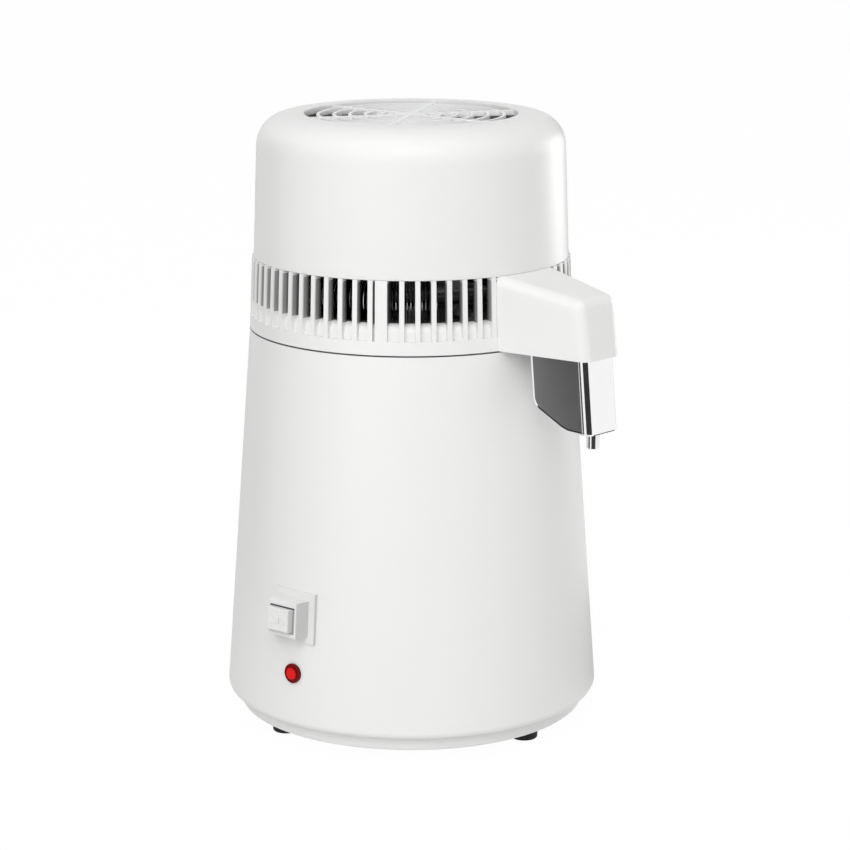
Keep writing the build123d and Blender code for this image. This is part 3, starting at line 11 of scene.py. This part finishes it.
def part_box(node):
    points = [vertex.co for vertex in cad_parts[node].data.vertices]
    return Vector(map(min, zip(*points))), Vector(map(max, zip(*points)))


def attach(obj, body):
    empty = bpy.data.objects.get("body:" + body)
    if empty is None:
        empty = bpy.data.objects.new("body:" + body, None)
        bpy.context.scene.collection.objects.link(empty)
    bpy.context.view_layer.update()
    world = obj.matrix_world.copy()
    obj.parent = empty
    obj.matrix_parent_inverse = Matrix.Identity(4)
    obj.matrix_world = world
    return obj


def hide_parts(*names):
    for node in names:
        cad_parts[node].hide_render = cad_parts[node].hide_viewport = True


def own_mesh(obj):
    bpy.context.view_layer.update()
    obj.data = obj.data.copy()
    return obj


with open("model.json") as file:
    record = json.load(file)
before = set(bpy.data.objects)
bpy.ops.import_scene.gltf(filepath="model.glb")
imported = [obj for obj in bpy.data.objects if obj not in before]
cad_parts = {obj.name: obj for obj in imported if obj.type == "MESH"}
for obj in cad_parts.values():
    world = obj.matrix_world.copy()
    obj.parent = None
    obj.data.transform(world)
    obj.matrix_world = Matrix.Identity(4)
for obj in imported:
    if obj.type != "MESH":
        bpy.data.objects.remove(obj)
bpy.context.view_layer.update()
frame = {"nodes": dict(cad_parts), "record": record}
nodes = frame["nodes"]

# Places on the object that its finishes and pieces share
seam_level = 0.2476
ring_reach = 0.0985
ring_draft = 0.0415
slot_foot = 0.2653
slot_head = 0.2893
grille_reach = 0.062
grille_level = 0.345
coil_radius = 0.069
coil_level = 0.276
fin_radius = 0.014
spout_turn = math.radians(5.45)
cup_half_width = 0.0135


class Wire:
    """An output of a shader node. Sums written on it add their Math nodes."""

    def __init__(self, finish, output):
        self.finish = finish
        self.output = output

    def math(self, operation, first, second):
        return self.finish.add("ShaderNodeMath", {"operation": operation}, {0: first, 1: second})

    def __add__(self, other):
        return self.math("ADD", self, other)

    __radd__ = __add__

    def __sub__(self, other):
        return self.math("SUBTRACT", self, other)

    def __rsub__(self, other):
        return self.math("SUBTRACT", other, self)

    def __mul__(self, other):
        return self.math("MULTIPLY", self, other)

    __rmul__ = __mul__

    def __truediv__(self, other):
        return self.math("DIVIDE", self, other)

    def __rtruediv__(self, other):
        return self.math("DIVIDE", other, self)

    def __gt__(self, other):
        return self.math("GREATER_THAN", self, other)

    def __lt__(self, other):
        return self.math("LESS_THAN", self, other)


class Finish:
    """A material being made. What is the same all over is set on the shader's own sockets."""

    def __init__(self, name, constants):
        self.material = bpy.data.materials.new(name)
        self.material.use_nodes = True
        self.tree = self.material.node_tree
        self.shader = self.tree.nodes["Principled BSDF"]
        for socket, value in constants.items():
            self.shader.inputs[socket].default_value = value

    def feed(self, socket, value):
        """Links a wire to a socket, or sets the socket to a number or colour."""
        if isinstance(value, Wire):
            self.tree.links.new(value.output, socket)
        else:
            socket.default_value = value

    def add(self, kind, settings, sockets, out=0):
        """Adds a node: its settings come first, then the values or wires of its sockets."""
        node = self.tree.nodes.new(kind)
        for name, value in settings.items():
            if name == "stops":
                set_stops(node.color_ramp, value)
            else:
                setattr(node, name, value)
        for name, value in sockets.items():
            self.feed(node.inputs[name], value)
        return Wire(self, node.outputs[out])

    def place(self, scale=(1, 1, 1), turn=(0, 0, 0), shift=(0, 0, 0)):
        """Object coordinates, scaled, turned and shifted."""
        here = self.add("ShaderNodeTexCoord", {}, {}, "Object")
        return self.add("ShaderNodeMapping", {}, {"Vector": here, "Scale": scale, "Rotation": turn, "Location": shift})

    def noise(self, scale, detail=2.0, stretch=(1, 1, 1)):
        """Cloudy values about a half, drawn out where stretch is under one."""
        return self.add("ShaderNodeTexNoise", {},
                        {"Vector": self.place(stretch), "Scale": scale, "Detail": detail, "Roughness": 0.55})

    def mix(self, factor, first, second):
        """A colour between two others."""
        return self.add("ShaderNodeMix", {"data_type": "RGBA"}, {0: factor, 6: first, 7: second}, 2)

    def ramp(self, value, stops):
        """A colour from a row of stops."""
        return self.add("ShaderNodeValToRGB", {"stops": stops}, {0: value})

    def give(self, socket, value):
        self.feed(self.shader.inputs[socket], value)

    def bump(self, height, depth):
        """Raises the surface by up to depth where height is one."""
        self.give("Normal", self.add("ShaderNodeBump", {}, {"Height": height, "Distance": depth, "Strength": 1.0}))


def set_stops(ramp, stops):
    """Gives a colour ramp its row of positions and colours."""
    while len(ramp.elements) < len(stops):
        ramp.elements.new(1.0)
    for element, (position, colour) in zip(ramp.elements, stops):
        element.position = position
        element.color = colour


def shade(colour, share):
    """A colour made lighter or darker, opaque."""
    return tuple(min(1.0, part * share) for part in colour[:3]) + (1.0,)


def along(f, axis, turn=0.0):
    """One of the coordinates, after a turn about the upright axis."""
    return f.add("ShaderNodeSeparateXYZ", {}, {0: f.place(turn=(0, 0, turn))}, axis)


def from_axis(f):
    """Distance from the upright axis."""
    return f.add("ShaderNodeVectorMath", {"operation": "LENGTH"}, {0: f.place((1, 1, 0))}, "Value")


def facing(f, axis, turn=0.0):
    """How far the surface faces along an axis, after a turn about the upright axis."""
    normal = f.add("ShaderNodeTexCoord", {}, {}, "Normal")
    turned = f.add("ShaderNodeMapping", {"vector_type": "NORMAL"}, {"Vector": normal, "Rotation": (0, 0, turn)})
    return f.add("ShaderNodeSeparateXYZ", {}, {0: turned}, axis)


def rise(f, value, start, length):
    """Nothing up to start, then growing to one over a length."""
    return f.add("ShaderNodeMath", {"operation": "DIVIDE", "use_clamp": True}, {0: value - start, 1: length})


def moulded_plastic(name, colour, roughness, grain_size, grain_depth, painted_light_and_shade=None, scatter=0.0):
    """Injection-moulded plastic: faint flow clouds, a fine eroded grain and a sheen that the clouds vary.
    Painted light and shade come as pairs of a share and how pale the plastic is painted there. Scatter is how far
    light goes in."""
    f = Finish(name, {"IOR": 1.49, "Specular IOR Level": 0.5})
    if scatter:
        f.give("Subsurface Weight", 1.0)
        f.give("Subsurface Radius", (1, 1, 1))
        f.give("Subsurface Scale", scatter)
    clouds = f.noise(9.0, 3.0, (1, 1, 0.35))
    grain = f.noise(1 / grain_size, 3.0)
    paint = f.mix(clouds, shade(colour, 0.985), shade(colour, 1.01))
    # Painted light and shade: each share of the surface is painted paler or darker than the plastic.
    for share, paleness in painted_light_and_shade(f) if painted_light_and_shade else ():
        paint = f.mix(share, paint, shade(colour, paleness))
    f.give("Base Color", paint)
    f.give("Roughness", clouds * 0.10 + grain * 0.06 + (roughness - 0.08))
    f.bump(grain, grain_depth)
    return f.material


def vent_painted_shade(f):
    """Painted shade on the ribs' flanks, darker deep in the slots, and in the seam under the ring."""
    level = along(f, "Z")
    reach = from_axis(f)
    depth = ring_reach - (level - seam_level) * ring_draft - reach
    slots = (level > slot_foot) * (level < slot_head)
    flanks = rise(f, depth, 0.0005, 0.0008) * slots
    deep = rise(f, depth, 0.003, 0.002) * slots
    seam = (level < seam_level + 0.0002) * (reach < ring_reach + 0.0005)
    return [(flanks, 0.40), (deep, 0.10), (seam, 0.25)]


def seam_painted_shade(f):
    """Painted shade on the casing's top edge, in the seam under the ring."""
    return [(along(f, "Z") > seam_level - 0.0008, 0.25)]


def grille_painted_light(f):
    """Painted light: the grille's plastic made whiter, standing in for light from above that goes from bar to bar."""
    return [(rise(f, grille_reach - from_axis(f), 0.0, 0.002) * (along(f, "Z") > grille_level), 1.13)]


def switch_painted_shade(f):
    """Painted shade in the well round the start button, darkest in the gap above it, and on the box's flank that faces
    -Y.
    """
    low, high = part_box("start_button")
    well = 0.0004
    across = along(f, "Y")
    level = along(f, "Z")
    inside = (across > low.y - well) * (across < high.y + well) * (level > low.z - well) * (level < high.z + well)
    flank = rise(f, facing(f, "Y") * -1.0, 0.3, 0.6)
    top_gap = inside * (level > high.z - well)
    return [(flank, 0.72), (inside, 0.45), (top_gap, 0.06)]


def button_painted_shade(f):
    """Painted shade on the button's flank that faces -Y."""
    return [(rise(f, facing(f, "Y") * -1.0, 0.2, 0.5), 0.72)]


def casing_plastic(name, painted_light_and_shade=None, scatter=0.0):
    """The satin white of the casing and the head."""
    return moulded_plastic(name, (0.865, 0.865, 0.858), 0.40, 0.0009, 0.000014, painted_light_and_shade, scatter)


def switch_plastic(name, painted_light_and_shade=None):
    """The duller white of the switch."""
    return moulded_plastic(name, (0.83, 0.83, 0.825), 0.46, 0.0006, 0.000016, painted_light_and_shade)


def brushed_steel(name, colour, roughness, stretch, painted_glint=None):
    """Rolled stainless sheet: fine lines along one way, cloudy gloss and a trace of handling marks.
    A painted glint, if given, is the share of it painted bright."""
    f = Finish(name, {"Metallic": 1.0, "IOR": 2.5})
    lines = f.noise(900.0, 3.0, stretch)
    clouds = f.noise(22.0, 3.0)
    tone = f.mix(lines * 0.5 + clouds * 0.5, shade(colour, 0.90), shade(colour, 1.06))
    # Painted highlight: the given share is painted bright, standing in for glints.
    if painted_glint:
        tone = f.mix(painted_glint(f), tone, (0.72, 0.72, 0.73, 1))
    f.give("Base Color", tone)
    f.give("Roughness", lines * 0.12 + clouds * 0.08 + (roughness - 0.10))
    f.bump(lines, 0.000012)
    return f.material


def fin_rim_glints(f):
    """The outermost part of the condenser fins' rims, where their glints are painted."""
    return rise(f, from_axis(f), coil_radius + fin_radius - 0.0011, 0.0009)


def folded_steel(name, bright, dull, turn):
    """Folded stainless sheet: polished, with fine lines, and satin where it faces along X after a turn, where its tone
    is painted shade; the front's bright tone is painted light.
    """
    f = Finish(name, {"Metallic": 1.0, "IOR": 2.5})
    lines = f.noise(900.0, 3.0, (1, 1, 0.02))
    clouds = f.noise(22.0, 3.0)
    sideways = facing(f, "X", turn)
    satin = rise(f, sideways.math("ABSOLUTE", sideways, 0), 0.990, 0.006)
    tone = lines * 0.5 + clouds * 0.5
    # Painted light and shade: the bright tone stands in for the white the front reflects, the dull tone for the dark
    # the satin sides reflect.
    f.give("Base Color", f.mix(satin, f.mix(tone, shade(bright, 0.94), shade(bright, 1.04)),
                               f.mix(tone, shade(dull, 0.90), shade(dull, 1.10))))
    f.give("Roughness", satin * 0.34 + lines * 0.04 + 0.05)
    f.bump(lines, 0.000003)
    return f.material


def plated_steel(name, colour, roughness):
    """Zinc plate: small crystals of different grey over a fine grain."""
    f = Finish(name, {"Metallic": 1.0})
    crystals = f.add("ShaderNodeTexVoronoi", {}, {"Vector": f.place(), "Scale": 420.0}, "Color")
    tone = f.add("ShaderNodeSeparateColor", {}, {0: crystals})
    grain = f.noise(1500.0)
    f.give("Base Color", f.mix(tone, shade(colour, 0.86), shade(colour, 1.08)))
    f.give("Roughness", tone * 0.14 + grain * 0.10 + (roughness - 0.12))
    f.bump(grain, 0.00001)
    return f.material


def cast_metal(name, colour, roughness):
    """Cast aluminium: a sandy skin with darker pits."""
    f = Finish(name, {"Metallic": 1.0})
    sand = f.noise(700.0, 4.0)
    f.give("Base Color", f.ramp(sand, [(0.25, shade(colour, 0.7)), (0.6, shade(colour, 1.02))]))
    f.give("Roughness", sand * 0.2 + (roughness - 0.1))
    f.bump(sand, 0.00008)
    return f.material


def heat_tinted(name, colour):
    """Sheathed element: steel with straw and blue tints from its own heat."""
    f = Finish(name, {"Metallic": 1.0})
    tint = f.noise(38.0, 3.0)
    grain = f.noise(1200.0)
    f.give("Base Color", f.ramp(tint, [(0.3, shade(colour, 0.6)), (0.46, (0.42, 0.32, 0.20, 1)),
                                       (0.58, (0.26, 0.28, 0.36, 1)), (0.75, shade(colour, 1.1))]))
    f.give("Roughness", grain * 0.2 + 0.30)
    f.bump(grain, 0.00002)
    return f.material


def rubber(name, colour, roughness):
    """Moulded rubber: dull, with a bloom that pales it in patches."""
    f = Finish(name, {"IOR": 1.52, "Specular IOR Level": 0.35})
    bloom = f.noise(120.0, 4.0)
    grain = f.noise(2200.0)
    f.give("Base Color", f.mix(bloom, shade(colour, 0.8), shade(colour, 1.5)))
    f.give("Roughness", bloom * 0.14 + (roughness - 0.07))
    f.bump(grain, 0.00003)
    return f.material


def phenolic(name, colour):
    """Pressed phenolic: dark brown with paler specks of filler."""
    f = Finish(name, {"IOR": 1.55})
    specks = f.add("ShaderNodeTexVoronoi", {"feature": "F1"}, {"Vector": f.place(), "Scale": 1600.0}, "Distance")
    f.give("Base Color", f.ramp(specks, [(0.12, shade(colour, 2.2)), (0.3, shade(colour, 1.0))]))
    f.give("Roughness", specks * 0.2 + 0.35)
    f.bump(specks, 0.00002)
    return f.material


def drawn_metal(name, colour, roughness):
    """Drawn wire and stamped contacts: bright, with tarnish in patches and fine draw lines."""
    f = Finish(name, {"Metallic": 1.0})
    tarnish = f.noise(160.0, 3.0)
    lines = f.noise(2500.0, 2.0, (1, 1, 0.1))
    f.give("Base Color", f.mix(tarnish, shade(colour, 0.72), shade(colour, 1.05)))
    f.give("Roughness", tarnish * 0.16 + lines * 0.08 + (roughness - 0.12))
    f.bump(lines, 0.000006)
    return f.material


def wound_wire(name, colour, wire):
    """Varnished copper turns side by side round the yoke, which lie across X."""
    f = Finish(name, {"Metallic": 1.0, "Coat Roughness": 0.15, "Coat IOR": 1.5})
    wave_length = 0.314  # of the wave texture at a scale of one
    turns = f.add("ShaderNodeTexWave", {"bands_direction": "X"}, {
        "Vector": f.place(), "Scale": wave_length / wire, "Distortion": 0.35, "Detail": 1.0, "Detail Scale": 9.0}, 1)
    clouds = f.noise(260.0)
    f.give("Base Color", f.mix(turns, shade(colour, 0.32), shade(colour, 1.15)))
    f.give("Roughness", clouds * 0.2 + 0.22)
    f.give("Coat Weight", clouds * 0.5 + 0.3)
    f.bump(turns, wire * 0.35)
    return f.material


def red_lens(name, centre, radius, stops):
    """Red lamp lens: a bright centre and a deep red ring, with colours by the share of the radius."""
    f = Finish(name, {"IOR": 1.45, "Specular IOR Level": 0.12, "Emission Strength": 0.08})
    across = f.place((0, 1, 1), shift=(0, -centre.y, -centre.z))
    reach = f.add("ShaderNodeVectorMath", {"operation": "LENGTH"}, {0: across}, "Value")
    clouds = f.noise(500.0)
    colour = f.ramp(reach / radius + clouds * 0.03, stops)
    f.give("Base Color", colour)
    f.give("Emission Color", colour)
    f.give("Roughness", clouds * 0.08 + 0.16)
    f.bump(clouds, 0.00002)
    return f.material


def glow_bulb(name, colour):
    """Small glow bulb: tinted glass with a hazy inside."""
    f = Finish(name, {"IOR": 1.45, "Transmission Weight": 0.6})
    haze = f.noise(300.0)
    f.give("Base Color", f.mix(haze, shade(colour, 0.8), shade(colour, 1.05)))
    f.give("Roughness", haze * 0.2 + 0.05)
    return f.material


lamp_low, lamp_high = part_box("indicator_lens")
finishes = {
    "casing_white": casing_plastic("casing_white"),
    "switch_white": switch_plastic("switch_white"),
    "inner_black": moulded_plastic("inner_black", (0.022, 0.022, 0.023), 0.48, 0.0008, 0.00003),
    "foot_rubber": rubber("foot_rubber", (0.012, 0.012, 0.012), 0.72),
    "seal_silicone": rubber("seal_silicone", (0.62, 0.62, 0.60), 0.5),
    "steel": brushed_steel("steel", (0.62, 0.62, 0.625), 0.26, (1, 1, 0.02)),
    "zinc_steel": plated_steel("zinc_steel", (0.60, 0.61, 0.62), 0.36),
    # Painted shade: the fins' metal is made far darker than aluminium, standing in for the dark inside the head; their
    # rims carry painted glints.
    "fin_aluminium": brushed_steel("fin_aluminium", (0.20, 0.202, 0.205), 0.15, (1, 1, 0.15), fin_rim_glints),
    "plate_aluminium": cast_metal("plate_aluminium", (0.60, 0.60, 0.61), 0.45),
    "element_sheath": heat_tinted("element_sheath", (0.30, 0.29, 0.28)),
    "thermostat_body": phenolic("thermostat_body", (0.10, 0.055, 0.035)),
    "contact_brass": drawn_metal("contact_brass", (0.78, 0.58, 0.28), 0.28),
    "spring_steel": drawn_metal("spring_steel", (0.55, 0.55, 0.56), 0.26),
    "winding_copper": wound_wire("winding_copper", (0.72, 0.32, 0.14), 0.0006),
    "lamp_red": red_lens("lamp_red", (lamp_low + lamp_high) / 2, (lamp_high.z - lamp_low.z) / 2, [
        (0.58, (0.68, 0.010, 0.010, 1)), (0.66, (0.13, 0.001, 0.003, 1)), (0.95, (0.16, 0.001, 0.004, 1))]),
    "lamp_bulb": glow_bulb("lamp_bulb", (0.95, 0.75, 0.6)),
}

node_finishes = {
    "outer_body": casing_plastic("body_white", seam_painted_shade),
    "vent_ring": casing_plastic("vent_white", vent_painted_shade),
    "dome_cover": casing_plastic("dome_white", grille_painted_light, 0.0015),
    "switch_bezel": switch_plastic("bezel_white", switch_painted_shade),
    "start_button": switch_plastic("button_white", button_painted_shade),
    "filter_cup": folded_steel("cup_steel_painted_light_shade", (0.92, 0.92, 0.93), (0.30, 0.30, 0.303), spout_turn),
    "outlet_tube": brushed_steel("nozzle_steel", (0.86, 0.86, 0.87), 0.13, (1, 1, 0.02)),
    # Painted shade: the lid's and the coil's steels are made far darker than steel, standing in for the dark inside
    # the head.
    "steam_lid": brushed_steel("lid_steel_painted_dark", (0.16, 0.16, 0.163), 0.30, (1, 0.02, 1)),
    "condenser_coil": brushed_steel("coil_steel_painted_dark", (0.12, 0.12, 0.122), 0.30, (1, 1, 0.05)),
}

for part in frame["record"]["subparts"]:
    shown = nodes[part["node"]]
    shown.data.materials.clear()
    shown.data.materials.append(node_finishes.get(part["node"], finishes[part["material_slot"]]))


def start():
    """Leaves nothing selected, so that a new primitive is all that an operator acts on."""
    bpy.ops.object.select_all(action="DESELECT")


def take(name, finish, body):
    """Names the active piece, finishes it and lets it ride on its body."""
    piece = bpy.context.active_object
    piece.name = name
    piece.data.name = name
    piece.data.materials.clear()
    piece.data.materials.append(finish)
    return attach(piece, body)


def settle():
    """Puts the active object's place into its mesh."""
    bpy.ops.object.transform_apply(location=True, rotation=True, scale=True)


def pick_faces(piece, wanted):
    """In edit mode, selects just the faces whose centre and normal are wanted."""
    bpy.ops.object.mode_set(mode="OBJECT")
    for vertex in piece.data.vertices:
        vertex.select = False
    for edge in piece.data.edges:
        edge.select = False
    for face in piece.data.polygons:
        face.select = bool(wanted(face.center, face.normal))
    bpy.ops.object.mode_set(mode="EDIT")
    bpy.ops.mesh.select_mode(type="FACE")


def merged_copy(node, name):
    """A copy of a node's mesh with its doubled points joined and its carried normals dropped, as a new piece."""
    start()
    piece = bpy.data.objects.new(name, nodes[node].data.copy())
    bpy.context.scene.collection.objects.link(piece)
    piece.select_set(True)
    bpy.context.view_layer.objects.active = piece
    bpy.ops.object.mode_set(mode="EDIT")
    bpy.ops.mesh.select_all(action="SELECT")
    bpy.ops.mesh.remove_doubles(threshold=0.000002)
    bpy.ops.object.mode_set(mode="OBJECT")
    bpy.ops.mesh.customdata_custom_splitnormals_clear()
    return piece


# Condenser fins: thin discs pressed on the coil, close together, in the runs that the clips leave
tube_radius = 0.00455
fin_sheet = 0.0003
fin_lip = 0.0008
first_fin = math.radians(-54.0)
cad_fin_step = math.radians(283.0 / 63)
fins_per_step = 3
fin_runs = ((0, 8), (9, 31), (32, 54), (55, 63))


def condenser_fin(turn):
    """One fin at the start of a run: a disc with a hole for the tube and a small collar round it."""
    start()
    bpy.ops.mesh.primitive_cylinder_add(vertices=20, radius=fin_radius, depth=fin_sheet,
                                        location=(coil_radius, 0, coil_level), rotation=(math.pi / 2, 0, 0))
    fin = bpy.context.active_object
    settle()
    pick_faces(fin, lambda centre, normal: abs(normal.y) > 0.9)
    bpy.ops.mesh.inset(thickness=fin_radius - tube_radius - fin_lip, use_individual=True)
    bpy.ops.mesh.inset(thickness=fin_lip, use_individual=True)
    bpy.ops.mesh.bridge_edge_loops()
    bpy.ops.object.mode_set(mode="OBJECT")
    fin.data.transform(Matrix.Rotation(turn, 4, "Z"))
    return fin


def fin_run(first, last):
    """A run of fins from one step of the row to another, turned about the head's axis."""
    fin = condenser_fin(first_fin + first * cad_fin_step)
    bpy.ops.object.empty_add(rotation=(0, 0, cad_fin_step / fins_per_step))
    step = bpy.context.active_object
    bpy.context.view_layer.objects.active = fin
    array = fin.modifiers.new("row", "ARRAY")
    array.use_relative_offset = False
    array.use_object_offset = True
    array.offset_object = step
    array.count = (last - first) * fins_per_step + 1
    bpy.context.view_layer.update()
    bpy.ops.object.modifier_apply(modifier="row")
    bpy.data.objects.remove(step)
    return fin


runs = [fin_run(first, last) for first, last in fin_runs]
start()
for run in runs:
    run.select_set(True)
bpy.context.view_layer.objects.active = runs[0]
bpy.ops.object.join()
fins = take("condenser_fin_stack", finishes["fin_aluminium"], "head")
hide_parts("condenser_fins")

# Filter cup: the CAD's cup with its two sides pressed in a little, which leaves a bright bevel round them
cup_bevel = 0.0008
cup_press = 0.0003
squared = Matrix.Rotation(spout_turn, 3, "Z")
cup = merged_copy("filter_cup", "filter_cup_pressed")
bpy.ops.object.mode_set(mode="EDIT")
bpy.ops.mesh.select_all(action="SELECT")
bpy.ops.mesh.dissolve_limited(angle_limit=math.radians(0.3))
pick_faces(cup, lambda centre, normal: abs((squared @ normal).x) > 0.9999
           and abs((squared @ centre).x) > cup_half_width - 0.00005)
bpy.ops.mesh.inset(thickness=cup_bevel, depth=-cup_press)
bpy.ops.object.mode_set(mode="OBJECT")
bpy.ops.object.shade_smooth_by_angle(angle=math.radians(16))
take("filter_cup_pressed", node_finishes["filter_cup"], "cup")
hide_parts("filter_cup")

# Button spring: a merged copy of the CAD's spring, shaded smooth, riding on the base
spring = merged_copy("button_spring", "button_spring_wound")
bpy.ops.object.shade_smooth_by_angle(angle=math.radians(40))
take("button_spring_wound", finishes["spring_steel"], "base")
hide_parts("button_spring")
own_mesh(spring)

# Raised letters on the start button's face, whose middle and upward direction are the CAD's
button_face = Vector((-0.126791, 0, 0.089222))
letter_height = 0.0052
capital_share = 0.7
letter_relief = 0.00035
face_across = Vector((0, -1, 0))
face_up = Vector((0.073614, 0, 0.997287))
face_out = face_across.cross(face_up)
start()
bpy.ops.object.text_add()
letters = bpy.context.active_object
letters.data.body = "ON"
letters.data.size = letter_height / capital_share
letters.data.align_x = "CENTER"
letters.data.align_y = "CENTER"
letters.data.extrude = letter_relief
letters.data.bevel_depth = letter_relief / 3
bpy.ops.object.convert(target="MESH")
letters = bpy.context.active_object
turned = Matrix((face_across, face_up, face_out)).transposed().to_4x4()
letters.data.transform(Matrix.Translation(button_face) @ turned)
take("button_letters", finishes["switch_white"], "button")

# Floor: white to the camera and to reflections, with a trace of the shadow kept
floor_glow_share = 0.97
start()
bpy.ops.mesh.primitive_plane_add(size=50.0, location=(0, 0, 0))
floor = bpy.context.active_object
floor.name = "floor"
floor_finish = Finish("floor_white", {"Base Color": (0.82, 0.82, 0.82, 1), "Roughness": 0.9})


def background_share(finish):
    """One for a ray from the camera, a reflection or a see-through piece, and nothing for light on the object."""
    seen = finish.add("ShaderNodeLightPath", {}, {}, "Is Camera Ray")
    mirrored = finish.add("ShaderNodeLightPath", {}, {}, "Is Glossy Ray")
    through = finish.add("ShaderNodeLightPath", {}, {}, "Is Transmission Ray")
    return seen.math("MAXIMUM", seen, mirrored.math("MAXIMUM", mirrored, through))


floor_glow = floor_finish.add("ShaderNodeEmission", {}, {"Color": (1, 1, 1, 1), "Strength": 1.01})
floor_matt = Wire(floor_finish, floor_finish.shader.outputs[0])
floor_mix = floor_finish.add("ShaderNodeMixShader", {}, {
    0: background_share(floor_finish) * floor_glow_share, 1: floor_matt, 2: floor_glow})
floor_finish.feed(floor_finish.tree.nodes["Material Output"].inputs["Surface"], floor_mix)
floor.data.materials.append(floor_finish.material)


class Sky(Finish):
    """The world's own nodes, made the same way as a finish."""

    def __init__(self):
        self.world = bpy.data.worlds.new("studio")
        self.world.use_nodes = True
        self.tree = self.world.node_tree
        self.shader = self.tree.nodes["Background"]


fill_level = 0.47
sky = Sky()
sky.give("Color", (1, 1, 1, 1))
sky.give("Strength", background_share(sky) * (1 - fill_level) + fill_level)
bpy.context.scene.world = sky.world

object_middle = Vector((0, 0, 0.19))


def soft_light(name, place, width, power):
    """A square soft box that points at the object's middle."""
    lamp = bpy.data.lights.new(name, "AREA")
    lamp.size = width
    lamp.energy = power
    lit = bpy.data.objects.new(name, lamp)
    lit.location = place
    lit.rotation_mode = "QUATERNION"
    lit.rotation_quaternion = (object_middle - place).to_track_quat("-Z", "Y")
    bpy.context.scene.collection.objects.link(lit)
    return lit


def dark_flag(name, place, turn, width, height):
    """A black card that only reflections see."""
    start()
    bpy.ops.mesh.primitive_plane_add(size=1.0, location=place, rotation=turn)
    flag = bpy.context.active_object
    flag.name = name
    flag.scale = (width, height, 1)
    flag.visible_camera = False
    flag.visible_diffuse = False
    flag.visible_shadow = False
    flag.data.materials.append(Finish(name, {"Base Color": (0.03, 0.03, 0.03, 1), "Roughness": 0.9}).material)


# Flags that give the polished cup and nozzle their dark bands
upright = math.pi / 2
dark_flag("left_flag", (-0.32, 0.26, 0.25), (upright, 0, math.radians(37)), width=0.62, height=0.5)
dark_flag("near_flag", (-0.37, -0.50, 0.25), (upright, 0, math.radians(136)), width=0.74, height=0.5)
dark_flag("far_flag", (0.70, 0.17, 0.25), (upright, 0, math.radians(114)), width=0.24, height=0.5)
dark_flag("low_flag", (0.22, -0.16, 0.002), (0, 0, 0), width=0.22, height=0.36)

# Camera at the photograph's place
view_turn = math.radians(-51.3)
view_distance = 1.56298
view_height = 0.5586
view_pitch = math.radians(13.4966)
view_yaw = math.radians(0.306)
view_focus = 2602.4
image_width = 850
back = Vector((math.sin(view_turn), -math.cos(view_turn), 0))
look = Matrix.Rotation(view_turn, 3, "Z") @ Vector(
    (math.sin(view_yaw) * math.cos(view_pitch), math.cos(view_yaw) * math.cos(view_pitch), -math.sin(view_pitch)))
camera = bpy.data.objects.new("camera", bpy.data.cameras.new("camera"))
camera.location = back * view_distance + Vector((0, 0, view_height))
camera.rotation_mode = "QUATERNION"
camera.rotation_quaternion = look.to_track_quat("-Z", "Y")
camera.data.sensor_width = 36.0
camera.data.lens = camera.data.sensor_width * view_focus / image_width
bpy.context.scene.collection.objects.link(camera)
bpy.context.scene.camera = camera

# Soft boxes, placed by the camera's backward and sideways directions
side = Vector((math.cos(view_turn), math.sin(view_turn), 0))
up = Vector((0, 0, 1))
key = soft_light("key", back * 1.65 - side * 0.4 + up * 1.15, width=1.1, power=14.2)
key.visible_glossy = False
soft_light("right_rim", side * 1.4 - back * 1.2 + up * 0.3, width=0.8, power=10.5)
soft_light("overhead", back * 1.3 + up * 1.9, width=1.6, power=10.0)

bpy.context.scene.view_settings.view_transform = "Standard"
